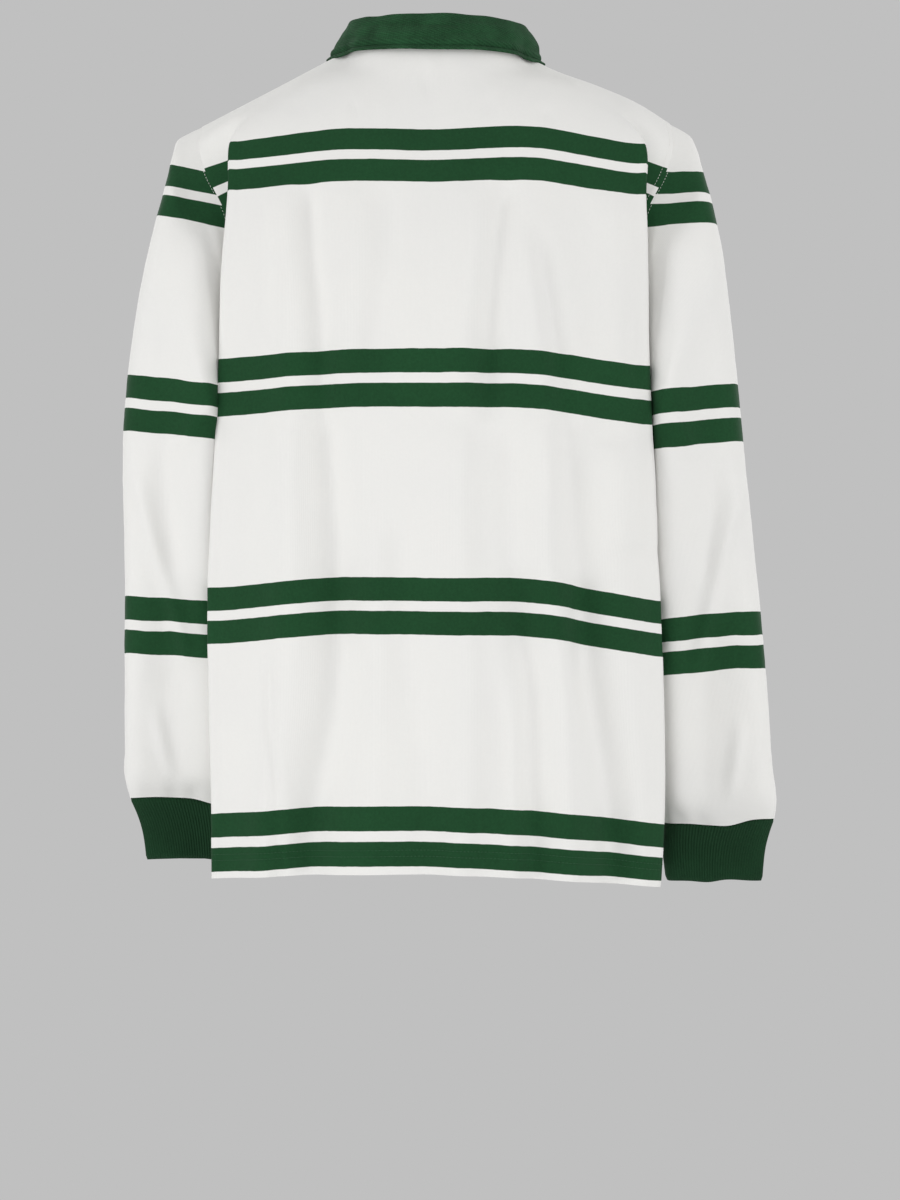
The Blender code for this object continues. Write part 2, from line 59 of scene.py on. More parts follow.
MM = 0.001
SIGNS = {"back": 1, "front": -1, "left": 1, "right": -1}
WALL = 1.5
COLLAR_WALL = 1.8
RIB_WALL = 1.6
PLACKET_WALL = 1.2

# The neckline and the shoulder seams: x, y, z. A larger fall makes the neckline rounder at its centre.
NECK_CENTRES = {"back": (0.0, 60.0, 10.0), "front": (0.0, -64.0, -58.0)}
NECK_FALLS = {"back": 2.0, "front": 1.7}
NECK_SIDES = {"left": (76.0, 0.0, 10.0), "right": (76.0, 0.0, 6.0)}
RIDGES = {
    "left": (NECK_SIDES["left"], (140.0, 0.0, -24.0), (177.0, 0.0, -43.3), (206.0, 0.0, -58.5)),
    "right": (
        NECK_SIDES["right"],
        (102.0, 0.0, -7.5),
        (144.0, 0.0, -23.0),
        (177.0, 0.0, -37.5),
        (206.0, 0.0, -56.0),
    ),
}
NECK_SHARE = {"back": 0.40, "front": 0.44}  # the neckline's share of half the top edge
FLAT = 3.0  # the cloth lies level this far from its top edge

# How the cloth leaves its top edge: the length of the roll and its slope below the horizontal.
Roll = namedtuple("Roll", "share length slope")
SHOULDER_ROLLS = (Roll(0.6, 17, 16), Roll(0.85, 15, 20), Roll(1.0, 14, 30))
ROLLS = {
    "back": (Roll(0.0, 12, 58), Roll(0.40, 14, 34), *SHOULDER_ROLLS),
    "front": (Roll(0.0, 5, 62), Roll(0.44, 12, 40), *SHOULDER_ROLLS),
}

# Sections of the two panels. cut is the length of cloth from the neck's side down to the section.
BLADE_X = 92.0
UNDERARM = 4
CORNER_SHARE = 0.76  # the share of a half panel's width at which it folds round to the side
CORNER_RUN = 11.0  # the cloth stays flat up to this far before the fold, and turns within CORNER_TURN
CORNER_TURN = 5.0
TUCK_FOLLOWS = 0.6  # how much of the right side's lower corner the cloth tucked behind it follows
SECTION_STEPS = 900  # the fine steps in which a section is measured, and those between other knots
STEPS_PER_KNOT = 40
Section = namedtuple(
    "Section",
    "cut middle_y z blade_y blade_l blade_r corner_l corner_r corner_y drop_l drop_r "
    "tuck_x tuck_y tuck_drop edge_x edge_y edge_drop",
)
SECTIONS = {
    "back": (
        Section(68, 83, -31, 66, -4, -4, 158, 158, 52, 19, 18, 183, 42, 30, 207, 24, 42),
        Section(110, 98, -72, 95, 0, -3, 178, 181, 78, 8, 10, 171, 60, 20, 201, 45, 28),
        Section(157.6, 110, -116, 107, 0, -2, 179, 181, 84, 4, 8, 170, 66, 20, 181, 60, 27),
        Section(228, 124, -185, 120, 0, 1, 184, 182, 86, 6, 10, 175, 62, 14, 172, 46, 18),
        Section(306, 130, -260, 124, 2, 1, 187, 183, 80, 6, 12, 177, 38, 10, 169, 0, 8),
        Section(353.6, 131, -308, 124, 1, 1, 190, 185, 78, 6, 13, 177, 32, 9, 169, -6, 8),
        Section(428, 129, -382, 122, 1, 1, 194, 189, 74, 7, 16, 178, 28, 9, 169, -12, 9),
        Section(502, 126, -455, 119, 0, 2, 197, 194, 70, 8, 20, 180, 24, 11, 170, -16, 11),
        Section(597.5, 123, -550, 116, 0, 3, 197, 197, 66, 8, 19, 183, 20, 11, 171, -18, 11),
        Section(698, 121, -652, 113, 1, 4, 194, 197, 64, 8, 17, 184, 20, 10, 174, -18, 10),
        Section(752, 120, -708, 112, 1, 5, 194, 193, 62, 7, 14, 186, 20, 8, 177, -16, 8),
    ),
    "front": (
        Section(96, -72.5, -68, -58, -37, -37, 156, 156, -47, -17, -18, 182, -38, -8, 207, -24, 6),
        Section(110, -77.5, -77, -88, -2, -2, 172, 172, -70, 10, 10, 187, -57, 17, 201, -43, 23),
        Section(157.6, -98, -122, -106, -2, -2, 173, 173, -82, 8, 8, 179, -72, 15, 182, -59, 21),
        Section(228, -119, -190, -118, -1, -1, 173, 173, -86, 6, 6, 174, -66, 11, 172, -46, 13),
        Section(306, -126, -262, -120, 0, 0, 174, 174, -84, 4, 4, 173, -42, 6, 169, 0, 6),
        Section(353.6, -126, -311, -119, 0, 0, 174, 174, -83, 4, 4, 171, -44, 5, 169, -6, 5),
        Section(428, -122, -386, -115, 0, 1, 172, 173, -82, 4, 6, 169, -46, 5, 169, -12, 5),
        Section(502, -118, -460, -111, 0, 2, 170, 172, -80, 4, 8, 169, -48, 6, 170, -16, 6),
        Section(597.5, -113, -556, -107, 0, 2, 168, 172, -78, 4, 8, 169, -48, 5, 171, -18, 5),
        Section(698, -110, -658, -104, 0, 2, 168, 174, -76, 4, 8, 170, -47, 4, 174, -18, 4),
        Section(752, -108, -713, -102, 0, 2, 169, 174, -74, 3, 6, 173, -46, 3, 177, -16, 3),
    ),
}

# Rings of the sleeves and cuffs. own says how far a ring has left the armhole's shape for its own.
Ring = namedtuple("Ring", "outer_x outer_z inner_x inner_z middle_y half_depth own", defaults=(1.0,))
SLEEVE_RINGS = {
    "left": (
        Ring(217.5, -64.0, 170.8, -273, 0, 66, 0.04),
        Ring(227.5, -70.0, 173.0, -278, 0, 66, 0.12),
        Ring(231, -80.5, 175.4, -284, 0, 67, 0.28),
        Ring(233.5, -95, 178.2, -292, 0, 68, 0.50),
        Ring(239, -120, 181, -304, -1, 69, 0.75),
        Ring(247.5, -160, 183.5, -322, -3, 70),
        Ring(258.5, -210, 185, -347, -6, 69),
        Ring(268, -270, 186, -382, -9, 65),
        Ring(273.5, -330, 186, -417, -13, 60),
        Ring(274, -420, 184, -472, -22, 53),
        Ring(275, -520, 181, -545, -38, 46),
        Ring(277, -606, 178.5, -618, -54, 41),
        Ring(277.5, -632, 177.5, -641, -60, 37),
        Ring(273.5, -650.5, 177.5, -656, -64, 29),
    ),
    "right": (
        Ring(215.5, -61.0, 170.8, -273, 0, 66, 0.04),
        Ring(224, -67.0, 173.0, -278, 0, 66, 0.12),
        Ring(229.5, -78.0, 175.4, -284, 0, 67, 0.28),
        Ring(234, -94, 178.2, -292, 0, 68, 0.50),
        Ring(240, -120, 181, -304, -1, 69, 0.75),
        Ring(247.5, -160, 183.5, -322, -3, 70),
        Ring(254.5, -210, 185, -347, -6, 69),
        Ring(262.5, -275, 186, -387, -9, 65),
        Ring(269, -340, 187, -427, -13, 60),
        Ring(279.5, -430, 189, -482, -20, 53),
        Ring(290.5, -530, 194, -555, -30, 46),
        Ring(298, -622, 200, -634, -40, 41),
        Ring(301.5, -652, 202.5, -661, -44, 37),
        Ring(300.5, -669.5, 203.5, -674, -46, 29),
    ),
}
PRESSED = 5.0  # 2 is a true oval, and more presses the tube flatter at the back and front
FULL_BACK = 0.2  # how much fuller the tubes are behind than in front
LEAN_BACK = 11.0  # the sleeve's inner side leans this far back against the body
LEAN_WITHIN = 240.0  # where it does: nearer the middle than this, and lower down than the next
LEAN_BELOW = -130.0
SLEEVE_INNER = 182.0  # the sleeve's inner side, and its width, for the stripes' heights
SLEEVE_WIDTH = 80.0

# How far the cuff's seam and its lower edge rise behind, at shares of its width from the outer side.
CUFF_SHARES = (0.0, 0.2, 0.45, 0.6, 0.8, 1.0)
CUFF_WAVES = {
    "left": ((0.0, 2.4, 3.4, 3.2, -0.6, 0.0), (0.0, 1.6, 2.6, 3.2, 1.6, 0.0)),
    "right": ((1.6, 2.2, -2.2, -1.0, 1.2, 2.0), (0.4, 0.8, 1.6, -0.6, 0.4, 0.0)),
}
CUFF_RINGS = {
    "left": (
        Ring(273, -650.6, 177.8, -656.1, -64, 28.5),
        Ring(263.5, -676, 176.8, -680, -68, 23),
        Ring(259.2, -707.5, 175.6, -708, -73, 19),
    ),
    "right": (
        Ring(300, -669.6, 203.8, -674.1, -46, 28.5),
        Ring(293.5, -692, 203, -694, -50, 23),
        Ring(290, -724.5, 206, -724, -53, 19),
    ),
}
CUFF_RING_PLACES = (0.0, 0.45, 1.0)  # of a cuff's three rings, as shares of its depth
CUFF_WAVE_REACH = 30.0  # the sleeve follows the cuff's wave over this length
STEPS_PER_RIB = 8

# The girth and depth of the cut, for the sleeves' and cuffs' own coordinates.
SLEEVE_GIRTH = 400.0
CUFF_GIRTH = 195.0
CUFF_DEPTH = 57.0

# Where the stripes of the sleeves lie: the cut length and its height on the outer and inner side.
Level = namedtuple("Level", "cut outer inner")
SLEEVE_LEVELS = {
    "left": (
        Level(0, 16, 6),
        Level(110, -89.7, -106.7),
        Level(306, -280, -291),
        Level(502, -471.6, -477),
        Level(698, -672, -672),
    ),
    "right": (
        Level(0, 12, 12),
        Level(110, -101.5, -104),
        Level(306, -288, -296),
        Level(502, -485, -493),
        Level(698, -684, -690),
    ),
}

# The large folds of the panels.
Fold = namedtuple("Fold", "top bottom x_top x_bottom width depth")
FOLDS = {
    "back": (
        Fold(-140, -330, -50, -46, 20, -3.0),
        Fold(-590, -712, -154, -160, 16, -4.5),
        Fold(-540, -712, -96, -100, 22, -3.0),
    ),
    "front": (
        Fold(-240, -712, 96, 104, 24, -6.0),
        Fold(-300, -712, -88, -100, 26, -6.5),
        Fold(-430, -712, 30, 26, 30, 4.0),
    ),
}

# Softer creases: by the piece and the side of it that they are on, the width and depth of each
# and the x, z points of its line.
CREASES = {
    ("back", "back"): (
        (13, 5.5, (132, -106), (131, -171), (126, -237), (126, -330)),
        (11, -7.4, (110, -106), (107, -171), (100, -237), (98, -330)),
        (15, 3.0, (70, -112), (68, -171), (72, -237), (74, -290)),
        (14, -3.6, (40, -112), (39, -171), (46, -237), (50, -290)),
        (14, 4.0, (-28, -112), (-32, -171), (-24, -237), (-20, -320)),
        (10, -6.4, (-64, -104), (-58, -145), (-52, -190), (-47, -250), (-46, -330)),
        (10, 3.0, (-74, -150), (-80, -190), (-86, -237), (-92, -310)),
        (9, -4.4, (-90, -156), (-94, -190), (-101, -237), (-110, -300), (-116, -350)),
        (24, 6.4, (-156, -112), (-160, -171), (-162, -237), (-164, -347), (-166, -440)),
        (20, 11.0, (124, -300), (125, -380), (126, -470), (129, -551), (138, -628), (145, -712)),
        (20, -14.0, (97, -300), (94, -370), (89, -430), (86, -500), (88, -551), (104, -628), (111, -712)),
        (15, 4.0, (53, -400), (51, -470), (50, -551), (52, -628), (54, -712)),
        (16, -4.0, (30, -400), (26, -470), (18, -551), (8, -628), (4, -712)),
        (16, 4.8, (-20, -320), (-21, -400), (-25, -480), (-29, -551), (-26, -628), (-20, -712)),
        (13, -6.4, (-62, -320), (-66, -370), (-67, -426), (-72, -470)),
        (13, -10.5, (-66, -440), (-73, -500), (-82, -551), (-84, -628), (-87, -712)),
        (10, -3.4, (-52, -540), (-54, -600), (-50, -680)),
        (11, 4.4, (-94, -320), (-96, -370), (-95, -440), (-104, -500), (-110, -551), (-113, -640),
         (-116, -712)),
        (12, -5.2, (-113, -320), (-117, -370), (-124, -440), (-130, -490)),
        (14, -10.4, (-126, -450), (-135, -551), (-149, -628), (-156, -712)),
        (22, 7.4, (-150, -330), (-157, -430), (-164, -500), (-172, -600), (-174, -712)),
        (7, -3.2, (-166, -205), (-168, -262), (-170, -300)),
        (4.2, -5.0, (141, -512), (139, -577), (136, -640), (134, -712)),
        (6, -1.8, (10, -4), (9, -22), (7, -50)),
        (6, -1.6, (122, -42), (121, -50), (120, -60)),
        (6, -1.8, (-100, -44), (-95, -56), (-86, -70)),
        (5, -1.2, (76, -36), (70, -52), (66, -66)),
        (5, -1.2, (-50, -34), (-44, -50), (-40, -66)),
    ),
    ("left", "back"): (
        (5, -5.6, (269, -386), (260, -440), (251, -493), (238, -553), (220, -626)),
        (9, 3.4, (277, -420), (266, -480), (257, -530), (246, -580)),
        (10, 3.0, (236, -430), (228, -480), (216, -530), (206, -570)),
        (6, -3.4, (242, -523), (226, -552), (213, -577), (200, -607)),
        (11, 4.6, (231, -224), (230, -250), (229, -276)),
        (9, -2.6, (210, -236), (211, -256), (209, -280)),
        (3.5, -1.4, (268, -597), (244, -601), (220, -611)),
    ),
    ("right", "back"): (
        (9, -3.6, (-220, -105), (-220, -125), (-219, -150)),
        (10, 5.0, (-214, -160), (-214, -215), (-214, -266)),
        (11, -4.6, (-235, -225), (-235, -256), (-232, -286)),
        (6, -4.4, (-202, -268), (-206, -274), (-212, -278)),
        (12, 4.4, (-228, -340), (-231, -400), (-231, -465)),
        (6, -5.0, (-263, -352), (-257, -400), (-249, -455)),
        (12, 3.4, (-240, -470), (-240, -520), (-238, -560)),
        (5, -5.2, (-268, -540), (-270, -600), (-268, -668)),
        (9, 3.4, (-252, -520), (-252, -600), (-248, -660)),
        (7, -4.6, (-214, -640), (-220, -656), (-226, -668)),
    ),
    ("front", "front"): (
        (9, -4.6, (120, -150), (112, -220), (104, -300), (102, -400)),
        (9, -4.4, (-118, -155), (-108, -230), (-96, -320), (-92, -420)),
        (8, -4.2, (52, -250), (44, -360), (48, -470), (56, -600), (60, -713)),
        (9, -4.6, (-40, -330), (-34, -430), (-38, -560), (-44, -713)),
        (11, 3.4, (134, -380), (138, -500), (140, -713)),
        (11, 3.2, (-128, -400), (-134, -540), (-136, -713)),
        (13, 3.2, (4, -300), (8, -420), (6, -560), (4, -713)),
        (6, -3.0, (150, -120), (132, -150), (116, -170)),
        (6, -3.0, (-150, -122), (-134, -150), (-120, -172)),
    ),
    ("left", "front"): (
        (7, -5.0, (262, -350), (246, -420), (228, -480), (214, -540)),
        (9, 3.6, (240, -330), (232, -400), (222, -460)),
        (7, -4.6, (200, -300), (212, -330), (232, -352)),
        (6, -4.0, (250, -560), (240, -600), (232, -640)),
    ),
    ("right", "front"): (
        (7, -5.0, (-268, -360), (-250, -430), (-236, -490), (-226, -550)),
        (9, 3.6, (-246, -340), (-240, -410), (-232, -470)),
        (7, -4.4, (-202, -306), (-216, -336), (-236, -356)),
        (6, -4.0, (-268, -570), (-262, -620), (-256, -655)),
    ),
}
CREASE_STEPS = 24
CREASE_TAPER = 40.0  # a crease deepens over this length from each end
CREASE_TIP = 16.0  # and starts from nothing over this one
HEM_NEAR = -700.0  # a crease that ends below this height runs out over the hem
FACING = 1.6  # how soon cloth that turns towards a side counts as facing it

# How far the stripes hang below the back's sections: by the cut length, at places across the back from
# the wearer's right edge to the left.
GRAIN_SIDE = (0.38, 0.57, 0.68, CORNER_SHARE, 0.88, 1.0)
GRAIN_PLACES = (*[-share for share in reversed(GRAIN_SIDE)], 0.0, *GRAIN_SIDE)
GRAIN = {
    70: (0,) * 13,
    110: (0, -5.0, 1.7, 4.0, 4.3, 1.7, 0.4, 0.4, 2.1, 2.1, 1.6, -4.0, 0),
    306: (0, 0, 2.1, 3.9, 4.5, 3.0, 1.9, 1.3, 2.1, 2.1, 2.1, 0, 0),
    502: (0, 0, 1.3, 3.0, 4.0, 1.7, 1.5, 1.7, 3.0, 3.0, 1.7, 0, 0),
    698: (0, 0, 0, 0, 0, 0, -1.0, -1.2, 0, 0, 0, 0, 0),
}

# The back is smoothed round NECK_TURN, beside the neck on both sides.
NECK_TURN = np.array([76.0, 24.0, -2.0])
NECK_SOFT = 16.0
NECK_PASSES = 30

# The cloth's swell beside a seam: its height, its distance from the seam and its width.
SEAM_PUFF = 0.16
SEAM_REACH = 3.4
SEAM_WIDTH = 1.9
TOP_RUN = 15.0  # the panel's first rows lie closer together, over this length
TOP_ROWS = 6
CALM_EDGE = 30.0  # folds and creases fade out this near a seam
PUCKERS = 13  # small gathers round the sleeve above the cuff
PUCKER_DEPTH = 0.6
PUCKER_REACH = 34.0
CALM_ARMHOLE = 26.0  # the sleeve's creases fade out this near the armhole and the cuff
CALM_CUFF = 14.0

# The cloth's small unevenness: layers of height, squeeze along x, y and z, size and seed.
UNEVEN = {
    "panel": ((0.9, (1, 1, 0.35), 34.0, 3), (0.35, (1, 1, 0.6), 15.0, 8)),
    "sleeve": ((0.9, (1, 1, 0.5), 30.0, 12), (0.3, (1, 1, 1), 12.0, 15)),
    "sleeve_stripes": ((1.2, (1, 1, 0.4), 26.0, 18),),
    "cuff": ((0.35, (1, 1, 1), 22.0, 30),),
    "collar": ((0.5, (1, 1, 0.6), 26.0, 45),),
    "collar_fall": ((0.5, (0.35, 0.35, 2.6), 15.0, 41),),
    "collar_fold": ((0.9, (1, 1, 0.2), 19.0, 49), (0.6, (1, 1, 0.2), 42.0, 47)),
}

# The collar, from the centre back to the centre front.
Station = namedtuple("Station", "panel neck stand lean leaf_panel leaf reach lift")
STATIONS = (
    Station("back", 0.00, 18.5, 7.0, "back", 0.00, 16, 2.6),
    Station("back", 0.12, 18.5, 7.0, "back", 0.135, 16, 2.6),
    Station("back", 0.25, 18.5, 6.5, "back", 0.30, 16, 2.6),
    Station("back", 0.31, 18.5, 5.8, "back", 0.37, 16.5, 2.2),
    Station("back", 0.36, 18.5, 5.0, "back", 0.43, 15, 1.9),
    Station("front", 0.43, 18.5, 4.0, "front", 0.515, 8, 3.1),
    Station("front", 0.35, 18.5, 5.0, "front", 0.48, 24, 3.0),
    Station("front", 0.24, 18, 5.0, "front", 0.38, 37, 3.8),
    Station("front", 0.12, 18, 5.0, "front", 0.27, 46, 4.0),
    Station("front", 0.014, 17, 4.5, "front", 0.16, 50, 4.2),
)
RIGHT_OUT = 3.5  # the fold stands further out on the wearer's right
FOOT = 1.2  # the stand starts this far above the neck's edge
COLLAR_FOLD = 2.4  # the radius of the fold
FOLD_REACH = 21  # the stand's height, along the cloth, at which the collar folds over

# The sewn welt along the fall's edge: ridges and grooves by their distance from the edge, height and width.
WELT = ((4.6, 1.7, 1.7), (0.0, -0.9, 1.7), (8.6, -0.6, 1.3))

# Soft wrinkles along the back of the fall: the place of each, its height above the edge and its slant.
Wrinkle = namedtuple("Wrinkle", "x above rise length width depth")
WRINKLES = (
    Wrinkle(42, 25, -0.04, 22, 2.2, 0.83),
    Wrinkle(-2, 24, 0.03, 20, 2.0, 0.90),
    Wrinkle(-40, 25, 0.05, 22, 2.4, -0.68),
    Wrinkle(30, 15, 0.02, 26, 2.0, -0.60),
    Wrinkle(-34, 17, -0.05, 24, 2.2, 0.68),
    Wrinkle(8, 17, -0.02, 18, 2.4, -0.60),
    Wrinkle(66, 14, 0.10, 14, 2.6, 0.75),
    Wrinkle(-68, 15, -0.12, 12, 2.6, 0.60),
)

PLACKET_WIDTH = 32.0
PLACKET_TOP = 6.0
PLACKET_LENGTH = 150.0
PLACKET_GAP = 0.4  # over the front panel
PLACKET_CUT = 97.0  # the cut length at the placket's top
BUTTON_DROPS = (14.0, 68.0, 122.0)
BUTTON_LIFT = 0.6  # over the placket
BUTTON_RINGS = (  # radius and height, from the middle of the back round the rim to the hollow of the face
    (0.5, 0.0), (4.48, 0.0), (5.32, 0.35), (5.6, 1.1), (5.432, 1.9), (5.04, 2.3),
    (4.48, 2.35), (3.92, 2.0), (3.36, 1.75), (0.5, 1.7),
)
BUTTON_EYE = 1.1  # from the button's middle to each thread bar
EYE_THREAD = (0.16, 1.5, 0.22)  # half lengths of a strand, and of a stitch of the buttonhole
HOLE_STITCH = (0.95, 0.3, 0.34)
HOLE_STITCHES = 44
HOLE_HALF = (1.4, 7.6)  # the buttonhole's half width and half length

# The jersey: how softly a stripe's edge changes colour, and the pitch of its knit's wales and courses.
STRIPE_SOFT = 0.45
WALE_PITCH = 1.25
COURSE_PITCH = 0.95

HEM_ROWS = (15.0, 20.0)  # the two rows of stitches above the hem's edge
TURN_UP = 24.0
TURN_UP_WALL = 1.1
TURN_UP_ROWS = 9
CUT_LENGTH = 752.0  # a panel's, from the neck's side to the hem
STITCH_PITCH = 3.2
ARMHOLE_STITCH = (2.3, 0.4, 0.06)  # length, thickness and lift
PLACKET_STITCH = (2.3, 0.5, 0.1)
HEM_STITCH = (2.4, 0.5, 0.08)
SLEEVE_ROW = 1.4  # the stitches beside the armhole seam, on the sleeve and on the body
BODY_ROW = 4.4
ARMHOLE_END = 74  # the panels' rows beside the armhole

# The camera stands behind the shirt, level, on the photograph's axis.
CAMERA_DISTANCE = 3.5
CAMERA_X = -0.0123
CAMERA_Z = -0.4743
CAMERA_LENS = 119.3
FLOOR_Z = -1.45
FLOOR_RADIUS = 2.2
BACKGROUND = 0.527

# The soft lamps: name, place, size in metres and power. They all face LIT_SPOT.
LIT_SPOT = (0, 0, -0.4)
LAMPS = (
    ("key", (3.5, 1.9, -1.4), 2.0, 58.0),
    ("fill", (-3.5, 1.9, -1.3), 2.0, 47.0),
    ("face_on", (0.6, 3.7, -1.3), 1.2, 22.0),
    ("front_left", (1.6, -3.6, 0.6), 2.4, 40.0),
    ("front_right", (-2.4, -3.0, 0.4), 2.2, 28.0),
)


def slopes_of(knots, values):
    """The slope of a smooth curve at each of its knots."""
    spans = np.diff(knots)[:, None]
    rises = np.diff(values, axis=0) / spans
    middle = (rises[:-1] * spans[1:] + rises[1:] * spans[:-1]) / (spans[:-1] + spans[1:])
    first = (3 * rises[0] - middle[0]) / 2
    last = (3 * rises[-1] - middle[-1]) / 2
    return np.vstack([first, middle, last])


def smooth(knots, values, at):
    """A smooth curve through the values at their knots, read at other places."""
    knots, values, at = (np.asarray(a, float) for a in (knots, values, at))
    slopes = slopes_of(knots, values)
    i = np.clip(np.searchsorted(knots, at) - 1, 0, len(knots) - 2)
    span = (knots[i + 1] - knots[i])[:, None]
    t = (at - knots[i])[:, None] / span
    return (
        values[i] * (1 + 2 * t) * (1 - t) ** 2
        + slopes[i] * span * t * (1 - t) ** 2
        + values[i + 1] * t**2 * (3 - 2 * t)
        + slopes[i + 1] * span * t**2 * (t - 1)
    )


def ease(t):
    """A soft step from 0 to 1."""
    t = np.clip(t, 0, 1)
    return t * t * (3 - 2 * t)


def bell(away, width):
    """A soft bump: 1 where away is 0, falling off over the given width."""
    return np.exp(-((away / width) ** 2))


def chords(points):
    """The distance along a row of points."""
    steps = np.linalg.norm(np.diff(np.asarray(points, float)[:, :3], axis=0), axis=1)
    return np.concatenate([[0.0], np.cumsum(steps)])


def between(reach, along, rows):
    """Rows of values read between their points, at one or more distances along them."""
    return np.stack([np.interp(reach, along, rows[:, k]) for k in range(rows.shape[1])], axis=-1)


def read_at(line, places):
    """Points at the given distances along a row of close points."""
    return between(places, chords(line), line)


def lengths_down(grid):
    """The distance down each column of a grid of points."""
    return np.array([chords(column) for column in grid])


def even(points, shares):
    """Points at the given shares of the length of a smooth curve through the points."""
    points = np.asarray(points, float)
    knots = chords(points)
    line = smooth(knots, points, np.linspace(0, knots[-1], STEPS_PER_KNOT * len(knots)))
    return read_at(line, np.asarray(shares) * chords(line)[-1])


def uneven(points, scale, seed):
    """Soft unevenness between -1 and 1 at each point, of the given size in millimetres."""
    flat = np.asarray(points, float).reshape(-1, 3)
    shift = Vector((seed * 7.3, seed * 3.1, seed * 5.7))
    values = [noise.noise(Vector(p / scale) + shift) for p in flat]
    return np.array(values).reshape(np.asarray(points).shape[:-1])


def unevenness(grid, name, sign=0):
    """The small unevenness of one cloth, of the layers that UNEVEN gives it."""
    layers = UNEVEN[name]
    return sum(height * uneven(grid * squeeze, size, seed + sign) for height, squeeze, size, seed in layers)


def section_row(section, shares):
    """A section of a panel at shares from -1, the wearer's right edge, through 0 to 1, the left edge."""
    s = section
    folded = s not in (SECTIONS["back"][0], SECTIONS["front"][0])
    middle = np.array([0, s.middle_y, s.z], float)
    sides = []
    for sign, corner_x, blade, drop in (
        (1, s.corner_l, s.blade_l, s.drop_l),
        (-1, s.corner_r, s.blade_r, s.drop_r),
    ):
        blade_point = [sign * BLADE_X, s.blade_y, s.z - blade]
        corner = np.array([sign * corner_x, s.corner_y, s.z - drop], float)
        tuck = np.array([sign * s.tuck_x, s.tuck_y, s.z - s.tuck_drop - TUCK_FOLLOWS * (drop - s.drop_l)])
        half = [blade_point, corner, tuck, [sign * s.edge_x, s.edge_y, s.z - s.edge_drop]]
        if folded:
            flat = np.array([middle, blade_point, corner])
            knots = chords(flat)
            half.insert(1, smooth(knots, flat, [knots[-1] - CORNER_RUN])[0])
            half.insert(3, corner + (tuck - corner) / np.linalg.norm(tuck - corner) * CORNER_TURN)
        sides.append(half)
    keys = np.array([*reversed(sides[1]), middle, *sides[0]], float)
    knots = chords(keys)
    steps = np.linspace(0, knots[-1], SECTION_STEPS)
    line = smooth(knots, keys, steps)
    place = np.interp(knots, steps, chords(line))
    half, corner = len(sides[0]), 3 if folded else 2
    marks = [-1.0, -CORNER_SHARE, 0.0, CORNER_SHARE, 1.0]
    return read_at(line, np.interp(shares, marks, place[[0, corner, half, half + corner, 2 * half]]))


def neck_curve(panel, side):
    """The neckline of one panel, from its centre to the neck's side point, with x measured outwards."""
    middle, end = NECK_CENTRES[panel], NECK_SIDES[side]
    angle = np.linspace(0, math.pi / 2, 9)
    height = end[2] + (middle[2] - end[2]) * np.cos(angle) ** NECK_FALLS[panel]
    return np.stack([end[0] * np.sin(angle), middle[1] * np.cos(angle), height], axis=1)


def top_row(panel, shares):
    """The top edge of a panel: the neckline, and the shoulder seam on either side of it."""
    turn = NECK_SHARE[panel]
    out = np.abs(shares)
    points = np.empty((len(out), 3))
    for side, chosen in (("left", shares >= 0), ("right", shares < 0)):
        neck = even(neck_curve(panel, side), np.clip(out / turn, 0, 1))
        ridge = even(RIDGES[side], np.clip((out - turn) / (1 - turn), 0, 1))
        line = np.where((out <= turn)[:, None], neck, ridge)
        points[chosen] = line[chosen]
    points[:, 0] *= np.where(shares < 0, -1, 1)
    return points


def panel_keys(panel, shares):
    """The points every column of a panel passes, from the top edge down: rows by columns."""
    shares = np.atleast_1d(np.asarray(shares, float))
    out = np.abs(shares)
    marks, lengths, slopes = zip(*ROLLS[panel])
    length = np.interp(out, marks, lengths)
    slope = np.radians(np.interp(out, marks, slopes))
    top = top_row(panel, shares)
    flat = top + [0, SIGNS[panel] * FLAT, -0.1]
    run = SIGNS[panel] * length * np.cos(slope)
    roll = flat + np.stack([0 * out, run, -length * np.sin(slope)], axis=1)
    return np.array([top, flat, roll] + [section_row(s, shares) for s in SECTIONS[panel]])


def outward(grid):
    """The unit normal of a grid of points, columns by rows."""
    normal = np.cross(np.gradient(grid, axis=0), np.gradient(grid, axis=1))
    return normal / np.linalg.norm(normal, axis=2, keepdims=True)


def fold_height(panel, grid):
    """How far the large folds move each point of a panel out."""
    height = np.zeros(grid.shape[:2])
    for fold in FOLDS[panel]:
        run = (fold.top - grid[..., 2]) / (fold.top - fold.bottom)
        middle = fold.x_top + (fold.x_bottom - fold.x_top) * np.clip(run, 0, 1)
        height += fold.depth * bell(grid[..., 0] - middle, fold.width) * ease(run)
    return height


def crease_height(piece, grid, normal):
    """How far the creases move each point of a piece out."""
    height = np.zeros(grid.shape[:2])
    x, z = grid[..., 0], grid[..., 2]
    for side in ("back", "front"):
        facing = ease(normal[..., 1] * SIGNS[side] * FACING)
        for width, depth, *points in CREASES.get((piece, side), ()):
            line = even(points, np.linspace(0, 1, CREASE_STEPS))
            along = chords(line)
            best, place = np.full(x.shape, np.inf), np.zeros(x.shape)
            for k, step in enumerate(np.diff(line, axis=0)):
                t = np.clip(((x - line[k, 0]) * step[0] + (z - line[k, 1]) * step[1]) / (step @ step), 0, 1)
                gap = np.hypot(x - line[k, 0] - t * step[0], z - line[k, 1] - t * step[1])
                near = gap < best
                best = np.where(near, gap, best)
                place = np.where(near, along[k] + t * (along[k + 1] - along[k]), place)
            runs_out = min(points[0][1], points[-1][1]) < HEM_NEAR
            ends, tip = (
                ease(place / run) * (1.0 if runs_out else ease((along[-1] - place) / run))
                for run in (min(CREASE_TAPER, along[-1] * 0.5), CREASE_TIP)
            )
            height += depth * facing * (0.25 + 0.75 * ends) * tip * bell(best, width)
    return height


